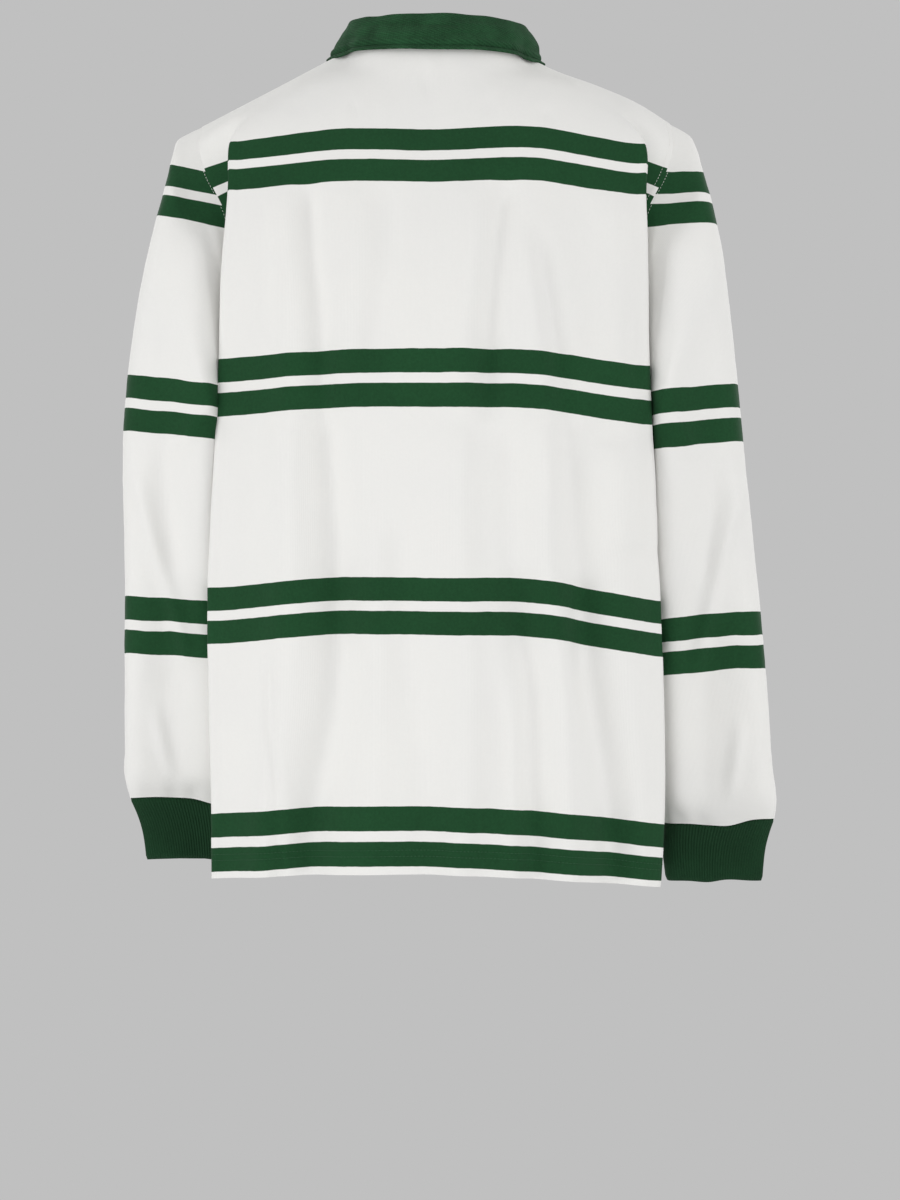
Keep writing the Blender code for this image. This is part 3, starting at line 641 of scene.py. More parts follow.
def seam_puff(distance):
    """The cloth swells a little beside a sewn seam, so that the seam lies in a groove."""
    return SEAM_PUFF * bell(distance - SEAM_REACH, SEAM_WIDTH)


def soften_neck(grid):
    """Smooths the back beside the neck, where the neckline turns into the shoulder seam."""
    away = np.linalg.norm(np.abs(grid) * [1, 0, 0] + grid * [0, 1, 1] - NECK_TURN, axis=2)
    share = 0.5 * bell(away, NECK_SOFT)[1:-1, 1:-1, None]
    for _ in range(NECK_PASSES):
        around = (grid[:-2, 1:-1] + grid[2:, 1:-1] + grid[1:-1, :-2] + grid[1:-1, 2:]) / 4
        grid[1:-1, 1:-1] += share * (around - grid[1:-1, 1:-1])


@functools.lru_cache(maxsize=None)
def panel_surface(panel, columns=136, above=72, below=120):
    """The outside of a panel in fine steps, with the cut's own coordinates, across and down."""
    sign = SIGNS[panel]
    shares = np.linspace(-1, 1, columns + 1)
    keys = panel_keys(panel, shares)
    cuts = [s.cut for s in SECTIONS[panel]]
    grid = np.empty((columns + 1, above + below + 1, 3))
    down = np.empty(grid.shape[:2])
    turn = UNDERARM + 3
    for column in range(columns + 1):
        line = keys[:, column]
        knots = chords(line)
        first = np.linspace(0, TOP_RUN, TOP_ROWS)
        upper = np.linspace(TOP_RUN, knots[turn], above - TOP_ROWS + 2)[1:]
        lower = np.linspace(knots[turn], knots[-1], below + 1)[1:]
        places = np.concatenate([first, upper, lower])
        head = cuts[1] - (knots[4] - knots[:4])
        down[column] = np.interp(places, knots, np.concatenate([head, cuts[1:]]))
        if column in (0, columns):
            armhole_edge = smooth(knots[: turn + 1], line[: turn + 1], places[: above + 1])
            side_edge = smooth(knots[turn:], line[turn:], places[above + 1 :])
            grid[column] = np.vstack([armhole_edge, side_edge])
        else:
            grid[column] = smooth(knots, line, places)
    if panel == "back":
        soften_neck(grid)
        down = down - grain_drop(shares, down)
    normal = outward(grid) * sign
    width = np.linalg.norm(np.diff(grid, axis=0), axis=2)
    across = np.cumsum(np.concatenate([np.zeros((1, above + below + 1)), width]), axis=0)
    edge = np.minimum(across, across[-1] - across)
    across = across - across[columns // 2]
    top = lengths_down(grid)
    lift = fold_height(panel, grid) + crease_height(panel, grid, normal)
    lift += unevenness(grid, "panel", sign)
    lift = lift * ease(edge / CALM_EDGE) * ease(top / CALM_EDGE) + seam_puff(edge)
    on_shoulder = np.abs(shares) > NECK_SHARE[panel]
    lift[on_shoulder] += seam_puff(top[on_shoulder])
    return grid + normal * lift[..., None], across, down


def grain_drop(shares, down):
    """How far the back's stripes hang below its sections, by the share of its width and the cut length."""
    table = [smooth(GRAIN_PLACES, np.array(drops, float)[:, None], shares)[:, 0] for drops in GRAIN.values()]
    columns = zip(down, np.transpose(table))
    return np.array([np.interp(lengths, list(GRAIN), drops) for lengths, drops in columns])


def panel_point(panel, share, reach, lift):
    """A point over a panel: down one of its columns by reach and out from the cloth by lift."""
    keys = panel_keys(panel, [share - 0.01, share, share + 0.01])
    points = np.array([smooth(chords(keys[:, c]), keys[:, c], [reach, reach + 2.0]) for c in range(3)])
    across, down = points[2, 0] - points[0, 0], points[1, 1] - points[1, 0]
    normal = np.cross(across, down) * SIGNS[panel]
    return points[1, 0] + normal / np.linalg.norm(normal) * lift


def armhole(side, count):
    """The armhole as a closed line: from the shoulder down the back, round the underarm and up the front."""
    halves = []
    for panel in ("back", "front"):
        line = panel_keys(panel, [SIGNS[side]])[: UNDERARM + 4, 0]
        knots = chords(line)
        fine = smooth(knots, line, np.linspace(0, knots[-1], 300))
        halves.append(read_at(fine, np.linspace(0, chords(fine)[-1], count // 2 + 1)))
    loop = np.vstack([halves[0], halves[1][-2::-1]])
    loop[[0, count // 2, -1], 1] = 0.0
    return loop


def oval(ring, side, shares):
    """One ring of a sleeve as a closed line, evenly spaced, from the outer point round by the back."""
    turn = 2 * math.pi * np.linspace(0, 1, 721)
    out, back = (np.sign(c) * np.abs(c) ** (2 / PRESSED) for c in (np.cos(turn), np.sin(turn)))
    x = (ring.outer_x + ring.inner_x) / 2 + (ring.outer_x - ring.inner_x) / 2 * out
    z = (ring.outer_z + ring.inner_z) / 2 + (ring.outer_z - ring.inner_z) / 2 * out
    depth = ring.half_depth * (1 + FULL_BACK * (back > 0))
    line = np.stack([SIGNS[side] * x, ring.middle_y + depth * back, z], axis=1)
    return read_at(line, shares * chords(line)[-1])


def cuff_wave(side, grid, edge):
    """How far the points of a sleeve or cuff rise with the cuff's seam, edge 0, or its lower edge, edge 1."""
    ring = Ring(*CUFF_RINGS[side][0])
    shares = (ring.outer_x - np.abs(grid[..., 0])) / (ring.outer_x - ring.inner_x)
    rises = np.array(CUFF_WAVES[side][edge])[:, None]
    rise = smooth(CUFF_SHARES, rises, np.clip(shares, 0, 1).ravel())[:, 0].reshape(shares.shape)
    return rise * ease(0.5 + (grid[..., 1] - ring.middle_y) / ring.half_depth)


def sleeve_surface(side, columns=96, rows=140):
    """The outside of a sleeve in fine steps, with the cut's own coordinates."""
    sign = SIGNS[side]
    loop = armhole(side, columns)
    along = chords(loop) / chords(loop)[-1]
    shares = np.linspace(0, 1, columns + 1)
    lift = ((1 + np.cos(2 * math.pi * along)) / 2)[:, None]
    lines = [loop]
    for ring in SLEEVE_RINGS[side]:
        outer = np.array([sign * ring.outer_x, 0, ring.outer_z])
        inner = np.array([sign * ring.inner_x, 0, ring.inner_z])
        moved = loop + lift * (outer - loop[0]) + (1 - lift) * (inner - loop[columns // 2])
        own = oval(ring, side, along + (shares - along) * ring.own)
        lines.append(moved + (own - moved) * ring.own)
    grid = np.empty((columns + 1, rows + 1, 3))
    spread = np.linspace(0, 1, rows + 1)
    spread *= 0.6 + 0.4 * spread  # the rows lie closer together near the shoulder
    for column, keys in enumerate(np.transpose(lines, (1, 0, 2))):
        knots = chords(keys)
        grid[column] = smooth(knots, keys, knots[-1] * spread)
    normal = outward(np.vstack([grid[-2:-1], grid, grid[1:2]]))[1:-1] * sign
    both = normal[0] + normal[-1]
    normal[0] = normal[-1] = both / np.linalg.norm(both, axis=1)[:, None]
    reach = lengths_down(grid)
    rest = reach[:, -1:] - reach
    turn = 2 * math.pi * shares
    puckers = np.cos(PUCKERS * turn + 1.4 * np.sin(3 * turn + sign))[:, None]
    depth = crease_height(side, grid, normal) + unevenness(grid, "sleeve", sign)
    depth *= ease(reach / CALM_ARMHOLE) * ease(rest / CALM_CUFF)
    depth += PUCKER_DEPTH * puckers * ease((PUCKER_REACH - rest) / 30.0) * ease(rest / 6.0)
    depth += seam_puff(reach) + seam_puff(rest)
    grid = grid + normal * depth[..., None]
    behind = ease(1.6 * np.sin(turn))[:, None]
    beside = ease((LEAN_WITHIN - np.abs(grid[..., 0])) / 40.0) * ease((LEAN_BELOW - grid[..., 2]) / 50.0)
    grid[..., 1] += LEAN_BACK * behind * beside * ease(reach / 14.0) * ease(rest / 40.0)
    grid[..., 2] += cuff_wave(side, grid, 0) * ease(1 - rest / CUFF_WAVE_REACH)
    outward_share = np.clip((np.abs(grid[..., 0]) - SLEEVE_INNER) / SLEEVE_WIDTH, 0, 1)
    cuts, outers, inners = zip(*SLEEVE_LEVELS[side])
    inner, outer = (np.interp(-grid[..., 2], -np.array(heights), cuts) for heights in (inners, outers))
    down = inner + (outer - inner) * outward_share + unevenness(grid, "sleeve_stripes", sign)
    across = shares[:, None] * np.full((1, rows + 1), SLEEVE_GIRTH)
    return grid, across, down


def cuff_surface(side, ribs, height):
    """A whole cuff, down its ribbed outside and up its plain inside, with the cut's own coordinates."""
    rows = 16
    shares = np.linspace(0, 1, STEPS_PER_RIB * ribs + 1)
    places = np.linspace(0, 1, rows + 1)
    table = smooth(CUFF_RING_PLACES, CUFF_RINGS[side], places)
    wave = 0.5 - 0.5 * np.cos(2 * math.pi * ribs * shares)
    rib = height * ease(wave * 1.25)
    outside, inside = [], []
    for place, values in zip(places, table):
        ring = Ring(*values)
        plain = oval(ring, side, shares)
        middle_x, middle_z = (ring.outer_x + ring.inner_x) / 2, (ring.outer_z + ring.inner_z) / 2
        out = plain - [SIGNS[side] * middle_x, ring.middle_y, middle_z]
        out /= np.linalg.norm(out, axis=1, keepdims=True)
        soft = ease(place / 0.06) * ease((1 - place) / 0.05)
        flare = math.sin(place * math.pi) * unevenness(plain, "cuff", SIGNS[side])
        outside.append(plain + out * (rib * (0.35 + 0.65 * soft) + flare - 0.5 * (1 - soft))[:, None])
        less = ring._replace(
            outer_x=ring.outer_x - RIB_WALL,
            inner_x=ring.inner_x + RIB_WALL,
            half_depth=ring.half_depth - RIB_WALL,
        )
        inside.append(oval(less, side, shares) + out * (0.3 * rib[:, None]))
    grid = np.array([*outside, *reversed(inside), outside[0]]).transpose(1, 0, 2)
    drop = np.concatenate([places, places[::-1], [0.0]])
    grid[..., 2] += cuff_wave(side, grid, 0) * (1 - drop) + cuff_wave(side, grid, 1) * drop
    across = np.broadcast_to(shares[:, None] * CUFF_GIRTH, grid.shape[:2])
    down = np.broadcast_to(np.concatenate([places, 2 - places, [2.0]]) * CUFF_DEPTH, grid.shape[:2])
    return grid, across, down


def collar_half(side):
    """Half the collar, from the centre back to the centre front: at each station the points from the
    stand's foot up, over the fold and down to the edge of the fall."""
    half = []
    up = np.array([0, 0, 1.0])
    for s in STATIONS:
        neck = side * s.neck
        before, foot, after = top_row(s.panel, np.array([neck - 0.01, neck, neck + 0.01]))
        along = (after - before) * SIGNS[s.panel]
        out = np.array([-along[1], along[0], 0.0])
        out /= np.linalg.norm(out)
        rise = np.cross(along, out)
        foot = foot + rise * np.sign(rise[2]) / np.linalg.norm(rise) * FOOT
        head = foot + up * s.stand - out * s.lean
        edge = panel_point(s.leaf_panel, side * s.leaf, s.reach, s.lift - 0.4)
        over = head + out * COLLAR_FOLD * 2
        half.append(
            [
                foot,
                foot + up * 3.0 - out * 0.4,
                foot + up * s.stand * 0.6 - out * s.lean * 0.62,
                head,
                head + out * COLLAR_FOLD + up * COLLAR_FOLD * 1.2,
                over,
                over + (edge - over) * 0.35 + out * 1.2,
                over + (edge - over) * 0.7 + out * 1.0,
                edge,
            ]
        )
    return np.array(half)


def collar_surface(columns=300, rows=76):
    """The outside of the collar: columns from the wearer's right front round to the left."""
    right = collar_half(-1)[::-1]
    right[:, 3:7, 0] -= RIGHT_OUT * (right[:, 3:7, 0] / NECK_SIDES["right"][0]) ** 2
    keys = np.vstack([right[:-1], collar_half(1)])
    knots = chords(keys[:, 3])
    count = keys.shape[1]
    places = np.linspace(0, knots[-1], columns + 1)
    lanes = np.stack([smooth(knots, keys[:, k], places) for k in range(count)], 1)
    grid = np.empty((columns + 1, rows + 1, 3))
    for column, lane in enumerate(lanes):
        fine = smooth(np.arange(count), lane, np.linspace(0, count - 1, 400))
        grid[column] = read_at(fine, np.linspace(0, chords(fine)[-1], rows + 1))
    normal = outward(grid) * -1
    reach = lengths_down(grid)
    rest = reach[:, -1:] - reach
    ends = np.minimum(places, knots[-1] - places)[:, None]
    edge = np.minimum(rest, np.where(reach > 24, ends, 99))
    fall = ease((reach - FOLD_REACH - 1) / 8)
    x = grid[..., 0]
    lift = unevenness(grid, "collar_fall") * fall * ease((rest - 7) / 6)
    lift += unevenness(grid, "collar") * ease(reach / 12)
    for wrinkle in WRINKLES:
        away = rest - wrinkle.above - wrinkle.rise * (x - wrinkle.x)
        long = np.exp(-(((x - wrinkle.x) / wrinkle.length) ** 4)) * (grid[..., 1] > 0)
        lift += wrinkle.depth * long * bell(away, wrinkle.width) * fall
    lift += fall * sum(height * bell(edge - place, width) for place, height, width in WELT)
    grid = grid + normal * lift[..., None]
    grid[..., 2] += unevenness(grid, "collar_fold") * bell(reach - FOLD_REACH, 9)
    across = np.broadcast_to(np.linspace(-210, 210, columns + 1)[:, None], grid.shape[:2])
    return grid, across, reach


def placket_surface(columns=16, rows=60):
    """The outside of the placket, laid on the front panel."""
    shares = np.linspace(-0.12, 0.12, 31)
    keys = panel_keys("front", shares)
    reach = np.linspace(PLACKET_TOP, PLACKET_TOP + PLACKET_LENGTH, rows + 1)
    patch = np.array([smooth(chords(keys[:, c]), keys[:, c], reach) for c in range(len(shares))])
    normal = -outward(patch)
    places = PLACKET_WIDTH * (np.arange(columns + 1) / columns - 0.5)
    edge = (PLACKET_WIDTH / 2 - np.abs(places))[:, None]
    pressed = 0.45 * (1 - ease(np.minimum(edge, (reach[-1] - reach)[None]) / 1.6))
    groove = 0.28 * bell(edge - 4.0, 0.9)
    lift = PLACKET_GAP + PLACKET_WALL - pressed - groove
    grid = np.empty((columns + 1, rows + 1, 3))
    for row in range(rows + 1):
        x = patch[:, row, 0]
        base, out = between(places, x, patch[:, row]), between(places, x, normal[:, row])
        grid[:, row] = base + out * lift[:, row, None]
    across = np.broadcast_to(places[:, None], grid.shape[:2])
    down = np.broadcast_to(PLACKET_CUT + reach[None] - reach[0], grid.shape[:2])
    return grid, across, down


class Value:
    """A socket of a material, on which arithmetic adds Math nodes."""

    def __init__(self, made, socket):
        self.made = made
        self.socket = socket

    def maths(self, operation, *others):
        inputs = {n: other for n, other in enumerate((self, *others))}
        node = self.made.node("ShaderNodeMath", {"operation": operation}, inputs)
        return Value(self.made, node.outputs[0])

    def swapped(self, operation, other):
        node = self.made.node("ShaderNodeMath", {"operation": operation}, {0: other, 1: self})
        return Value(self.made, node.outputs[0])

    def __add__(self, other):
        return self.maths("ADD", other)

    def __sub__(self, other):
        return self.maths("SUBTRACT", other)

    def __mul__(self, other):
        return self.maths("MULTIPLY", other)

    def __truediv__(self, other):
        return self.maths("DIVIDE", other)

    def __mod__(self, other):
        return self.maths("FLOORED_MODULO", other)

    def __rsub__(self, other):
        return self.swapped("SUBTRACT", other)

    __radd__ = __add__
    __rmul__ = __mul__

    def clamped(self):
        return self.maths("MINIMUM", 1.0).maths("MAXIMUM", 0.0)

    def wave(self, pitch):
        """A sine of the value with the given pitch."""
        return (self * (2 * math.pi / pitch)).maths("SINE")


class Finish:
    """A material of one surface, made of nodes."""

    def __init__(self, name, roughness, sheen=0.0, gloss=0.12):
        self.material = bpy.data.materials.new(name)
        self.material.use_nodes = True
        self.tree = self.material.node_tree
        self.shader = self.tree.nodes["Principled BSDF"]
        self.shader.inputs["Roughness"].default_value = roughness
        self.shader.inputs["Sheen Weight"].default_value = sheen
        self.shader.inputs["Sheen Roughness"].default_value = 0.6
        self.shader.inputs["Specular IOR Level"].default_value = gloss

    def node(self, kind, settings=None, inputs=None):
        """Adds a node, with its settings first and then the values or links of its sockets."""
        node = self.tree.nodes.new(kind)
        for key, value in (settings or {}).items():
            setattr(node, key, value)
        for key, value in (inputs or {}).items():
            value = value.socket if isinstance(value, Value) else value
            if isinstance(value, bpy.types.NodeSocket):
                self.tree.links.new(value, node.inputs[key])
            else:
                node.inputs[key].default_value = value
        return node

    def cut(self):
        """The cloth's own coordinates in millimetres, across and down."""
        place = self.node("ShaderNodeUVMap", {"uv_map": "cut"})
        parts = self.node("ShaderNodeSeparateXYZ", None, {0: place.outputs[0]})
        return Value(self, parts.outputs[0]) * 1000.0, Value(self, parts.outputs[1]) * 1000.0

    def cloud(self, size, detail=2.0, rough=0.5):
        """Soft noise between 0 and 1, of the given size in metres."""
        place = self.node("ShaderNodeTexCoord").outputs["Object"]
        inputs = {"Vector": place, "Scale": 1.0 / size, "Detail": detail, "Roughness": rough}
        return Value(self, self.node("ShaderNodeTexNoise", None, inputs).outputs[0])

    def mix(self, share, low, high):
        """A colour between two others."""
        inputs = {0: share, 6: low, 7: high}
        return self.node("ShaderNodeMix", {"data_type": "RGBA"}, inputs).outputs[2]

    def tones(self, share, colour, low, high):
        """A colour that goes from a darker to a lighter tone of itself."""
        return self.mix(share, shade(colour, low), shade(colour, high))

    def done(self, colour, height, distance, strength):
        """The finished material, with a colour and a relief of the given height in metres."""
        inputs = {"Height": height, "Distance": distance, "Strength": strength}
        relief = self.node("ShaderNodeBump", None, inputs).outputs[0]
        for socket, name in ((colour, "Base Color"), (relief, "Normal")):
            self.tree.links.new(socket, self.shader.inputs[name])
        return self.material


def shade(colour, factor):
    return (*[min(1.0, c * factor) for c in colour[:3]], 1.0)


def striped_jersey(sizes, colours):
    """Ivory jersey with pairs of green stripes, a soft fuzz and the fine rows of its knit."""
    made = Finish("striped_jersey", 0.8, 0.02)
    across, down = made.cut()
    wavering = down + (made.cloud(0.012, 2.0) - 0.5) * 0.9
    pitch, first = sizes.stripe_pitch * 1000, sizes.first_stripe * 1000
    band, gap = sizes.stripe_width * 1000, sizes.stripe_gap * 1000
    place = (wavering - first) % pitch

    def stripe(start):
        """1 inside a stripe that starts at this place of the pitch, with soft edges."""
        upper = ((place - start) / STRIPE_SOFT + 0.5).clamped()
        return upper * ((start + band - place) / STRIPE_SOFT + 0.5).clamped()

    below_neck = ((wavering - (first - 2.0)) / STRIPE_SOFT).clamped()
    mask = (stripe(0.0) + stripe(band + gap)) * below_neck
    ivory = colours.ivory
    patch = made.cloud(0.09, 3.0)
    fuzz = made.cloud(0.0022, 2.0, 0.6)
    warm = (ivory[0] * 1.01, ivory[1] * 1.005, ivory[2] * 0.985)
    pale = made.mix(patch, shade(ivory, 0.965), shade(warm, 1.015))
    pale = made.mix(fuzz * 0.5, pale, shade(ivory, 0.93))
    dark = made.tones(fuzz * 0.8 + (patch - 0.5) * 0.6, colours.green, 0.78, 1.42)
    wales = across.wave(WALE_PITCH)
    courses = (down + wales * 0.18).wave(COURSE_PITCH)
    return made.done(made.mix(mask, pale, dark), wales * 0.5 + courses * 0.35 + fuzz * 1.4, 0.00012, 0.35)


def ribbed_knit(colours):
    """Dark green rib with its rows of stitches."""
    made = Finish("ribbed_knit", 0.9, 0.02)
    across, down = made.cut()
    fuzz = made.cloud(0.0018, 2.0, 0.6)
    patch = made.cloud(0.03, 2.0)
    colour = made.tones(fuzz * 0.7 + (patch - 0.5) * 0.5, colours.cuff, 0.75, 1.45)
    stitches = (down + across.wave(1.35) * 0.5).wave(1.1)
    return made.done(colour, stitches * 0.6 + fuzz * 1.2, 0.00018, 0.5)


def brushed_twill(colours):
    """Green twill with slanting wales and a brushed, patchy face."""
    made = Finish("brushed_twill", 0.85, 0.02, 0.08)
    across, down = made.cut()
    fuzz = made.cloud(0.0016, 3.0, 0.65)
    patch = made.cloud(0.02, 3.0)
    twill = (across * 0.35 + down).wave(1.9)
    colour = made.tones(fuzz * 0.7 + (patch - 0.5) * 1.1 + twill * 0.14, colours.collar, 0.5, 1.6)
    return made.done(colour, twill * 0.9 + across.wave(1.7) * 0.6 + fuzz * 1.8, 0.00026, 0.6)


def sewing_thread(name, colour):
    made = Finish(name, 0.6, 0.1)
    fuzz = made.cloud(0.0006, 2.0)
    return made.done(made.tones(fuzz, colour, 0.85, 1.12), fuzz, 0.00005, 0.4)


def moulded_button(colours):
    made = Finish("moulded_button", 0.32, gloss=0.5)
    colour = made.tones(made.cloud(0.006, 4.0, 0.6), colours.button, 0.9, 1.06)
    return made.done(colour, made.cloud(0.0008, 2.0), 0.00002, 0.3)


def stage_paper(colours):
    made = Finish("stage_paper", 0.9)
    colour = made.tones(made.cloud(0.4, 2.0), colours.floor, 0.99, 1.01)
    return made.done(colour, made.cloud(0.01, 2.0), 0.0001, 0.1)


def finish_of(name):
    """A finish by its name, made the first time it is asked for."""
    if name in bpy.data.materials:
        return bpy.data.materials[name]
    sizes, colours = bpy.context.scene.shirt_sizes, bpy.context.scene.shirt_colours
    makers = {
        "striped_jersey": lambda: striped_jersey(sizes, colours),
        "ribbed_knit": lambda: ribbed_knit(colours),
        "brushed_twill": lambda: brushed_twill(colours),
        "ivory_thread": lambda: sewing_thread(name, colours.thread),
        "green_thread": lambda: sewing_thread(name, colours.green_thread),
        "moulded_button": lambda: moulded_button(colours),
        "stage_paper": lambda: stage_paper(colours),
    }
    return makers[name]()


def laid_out(surface, flip=False):
    """A bmesh grid laid on a surface, with the cut's own coordinates as a UV map."""
    grid, across, down = surface
    columns, rows = grid.shape[0] - 1, grid.shape[1] - 1
    mesh = bmesh.new()
    bmesh.ops.create_grid(mesh, x_segments=columns, y_segments=rows, size=1.0)
    places = {}
    for vertex in mesh.verts:
        spot = round((vertex.co.x + 1) / 2 * columns), round((1 - vertex.co.y) / 2 * rows)
        places[vertex] = spot
        vertex.co = grid[spot] * MM
    cut = mesh.loops.layers.uv.new("cut")
    for face in mesh.faces:
        for corner in face.loops:
            spot = places[corner.vert]
            corner[cut].uv = (across[spot] * MM, down[spot] * MM)
    bmesh.ops.remove_doubles(mesh, verts=mesh.verts, dist=1e-6)
    for edge in mesh.edges:
        edge.smooth = not edge.is_boundary
    if flip:
        bmesh.ops.reverse_faces(mesh, faces=mesh.faces)
    return mesh


def placed(name, data):
    """A new object with the given data, put in the scene."""
    item = bpy.data.objects.new(name, data)
    bpy.context.scene.collection.objects.link(item)
    return item


def meshed(name, mesh, finish):
    """A new object of a bmesh, with its finish."""
    data = bpy.data.meshes.new(name)
    mesh.to_mesh(data)
    mesh.free()
    data.materials.append(finish_of(finish))
    return placed(name, data)


def piece_of(name, mesh, finish, slot, *nodes):
    """A finished piece: an object that rides with the shirt and stands for the named solids."""
    piece = meshed(name, mesh, finish)
    piece.data.shade_smooth()
    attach(piece, "root")
    if nodes:
        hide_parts(*nodes)
    return piece


def walled(piece, wall):
    """Gives a piece its wall, on the inside of its surface."""
    solid = piece.modifiers.new("wall", "SOLIDIFY")
    solid.thickness = wall * MM
    solid.offset = -1


def bead(mesh, spot, turn, size, fineness=1):
    """A small rounded bar at a spot, turned, with its half lengths in millimetres."""
    matrix = Matrix.Translation(spot) @ turn.to_4x4() @ Matrix.Diagonal((*[s * MM for s in size], 1))
    bmesh.ops.create_icosphere(mesh, subdivisions=fineness, radius=1.0, matrix=matrix)


def rows_of_stitches(lines, length, thick, lift):
    """Stitches along lines of points with outward normals: each a small rounded bar."""
    mesh = bmesh.new()
    for points, normals in lines:
        along = chords(points)
        count = max(2, int(along[-1] / STITCH_PITCH))
        for n in range(count):
            middle = (n + 0.5) / count * along[-1]
            behind, place, ahead = between(middle + np.array([-0.6, 0.0, 0.6]), along, points)
            out = Vector(between(middle, along, normals)).normalized()
            run = Vector(ahead - behind).normalized()
            turn = Matrix((run, out.cross(run).normalized(), out)).transposed()
            bead(mesh, Vector(place * MM) + out * lift * MM, turn, (length / 2, thick / 2, thick / 2))
    return mesh


def line_at(grid, normal, reach):
    """The line at an even distance from the first edge of a grid, with its outward normals."""
    places = [chords(column) for column in grid]
    return [np.array([between(reach, *rows) for rows in zip(places, values)]) for values in (grid, normal)]


def disc(mesh, place, turn, rings, turns):
    """A turned shape: circles of the given radius and height, joined, on a place of the shirt."""
    last = None
    for radius, height in rings:
        made = bmesh.ops.create_circle(mesh, segments=turns, radius=radius * MM)["verts"]
        for vertex in made:
            vertex.co = turn @ Vector((vertex.co.x, vertex.co.y, height * MM)) + place
        edges = {e for v in made for e in v.link_edges if e.other_vert(v) in made}
        if last is not None:
            bmesh.ops.bridge_loops(mesh, edges=list(last | edges))
        last = edges
    return last


def button_frame(drop):
    """Where a button sits on the placket: its middle, and its side, up and out directions."""
    high, middle, low = (
        panel_point("front", 0.0, PLACKET_TOP + drop + d, PLACKET_GAP + PLACKET_WALL) for d in (-6, 0, 6)
    )
    side = Vector((1, 0, 0))
    up = Vector(high - low).normalized()
    out = side.cross(up)
    raised = max(BUTTON_LIFT, BUTTON_LIFT + (high - middle) @ np.array(out))
    return Vector(middle) * MM + out * raised * MM, side, up, out


def length_of(name, description, metres):
    """A length of the shirt, to be set in the side panel."""
    return FloatProperty(name=name, description=description, default=metres, unit="LENGTH")


def colour_of(name, description, colour):
    """A colour of the shirt, to be set in the side panel."""
    return FloatVectorProperty(name=name, description=description, default=colour, subtype="COLOR")


class ShirtSizes(bpy.types.PropertyGroup):
    stripe_width: length_of("Stripe width", "Height of one green stripe", 0.0204)
    stripe_gap: length_of("Stripe gap", "Ivory between the two stripes of a pair", 0.0087)
    stripe_pitch: length_of("Stripe pitch", "From one pair of stripes to the next", 0.196)
    first_stripe: length_of("First stripe", "From the neck's side down to the first stripe", 0.109)
    rib_height: length_of("Rib height", "How far a cuff's rib stands out", 0.0007)
    ribs: IntProperty(name="Ribs", description="Number of ribs round a cuff", default=104)


class ShirtColours(bpy.types.PropertyGroup):
    ivory: colour_of("Ivory", "Ground of the jersey", (0.785, 0.782, 0.768))
    green: colour_of("Green", "Stripes of the jersey", (0.0092, 0.0525, 0.018))
    collar: colour_of("Collar", "Twill of the collar", (0.0165, 0.0665, 0.0265))
    cuff: colour_of("Cuffs", "Knit of the cuffs", (0.0085, 0.0385, 0.015))
    thread: colour_of("Thread", "Ivory sewing thread", (0.80, 0.79, 0.76))
    green_thread: colour_of("Green thread", "Sewing thread on the hem", (0.022, 0.085, 0.036))
    button: colour_of("Button", "Moulded buttons", (0.78, 0.76, 0.70))
    floor: colour_of("Floor", "Pale floor", (0.62, 0.62, 0.62))


class SHIRT_OT_panels(bpy.types.Operator):
    """Builds the back and front panels of striped jersey"""

    bl_idname = "shirt.panels"
    bl_label = "Panels"

    def execute(self, context):
        for panel in ("back", "front"):
            mesh = laid_out(panel_surface(panel), flip=panel == "back")
            piece = piece_of(f"{panel}_cloth", mesh, "striped_jersey", "jersey", f"{panel}_panel")
            walled(piece, WALL)
        return {"FINISHED"}


class SHIRT_OT_sleeves(bpy.types.Operator):
    """Builds the two long sleeves of striped jersey"""

    bl_idname = "shirt.sleeves"
    bl_label = "Sleeves"

    def execute(self, context):
        for side in ("left", "right"):
            mesh = laid_out(sleeve_surface(side), flip=side == "right")
            piece = piece_of(f"sleeve_{side}_cloth", mesh, "striped_jersey", "jersey", f"sleeve_{side}")
            walled(piece, WALL)
        return {"FINISHED"}


class SHIRT_OT_armholes(bpy.types.Operator):
    """Builds the stitches beside the armhole seams"""

    bl_idname = "shirt.armholes"
    bl_label = "Armholes"

    def execute(self, context):
        for side in ("left", "right"):
            grid = sleeve_surface(side)[0]
            lines = [line_at(grid, outward(grid) * SIGNS[side], SLEEVE_ROW)]
            if side == "right":
                for panel in ("back", "front"):
                    grid = panel_surface(panel)[0][:, :ARMHOLE_END].transpose(1, 0, 2)
                    lines.append(line_at(grid, outward(grid) * -SIGNS[panel], BODY_ROW))
            stitches = rows_of_stitches(lines, *ARMHOLE_STITCH)
            piece_of(f"armhole_stitches_{side}", stitches, "ivory_thread", "jersey")
        return {"FINISHED"}


class SHIRT_OT_cuffs(bpy.types.Operator):
    """Builds the two ribbed cuffs"""

    bl_idname = "shirt.cuffs"
    bl_label = "Cuffs"

    def execute(self, context):
        sizes = context.scene.shirt_sizes
        for side in ("left", "right"):
            mesh = laid_out(cuff_surface(side, sizes.ribs, sizes.rib_height * 1000))
            bmesh.ops.recalc_face_normals(mesh, faces=mesh.faces)
            piece = piece_of(f"cuff_{side}_knit", mesh, "ribbed_knit", "rib", f"cuff_{side}")
        return {"FINISHED"}


class SHIRT_OT_collar(bpy.types.Operator):
    """Builds the folded collar with its edge welt"""

    bl_idname = "shirt.collar"
    bl_label = "Collar"

    def execute(self, context):
        mesh = laid_out(collar_surface())
        piece = piece_of("collar_cloth", mesh, "brushed_twill", "collar_cloth", "collar")
        walled(piece, COLLAR_WALL)
        return {"FINISHED"}


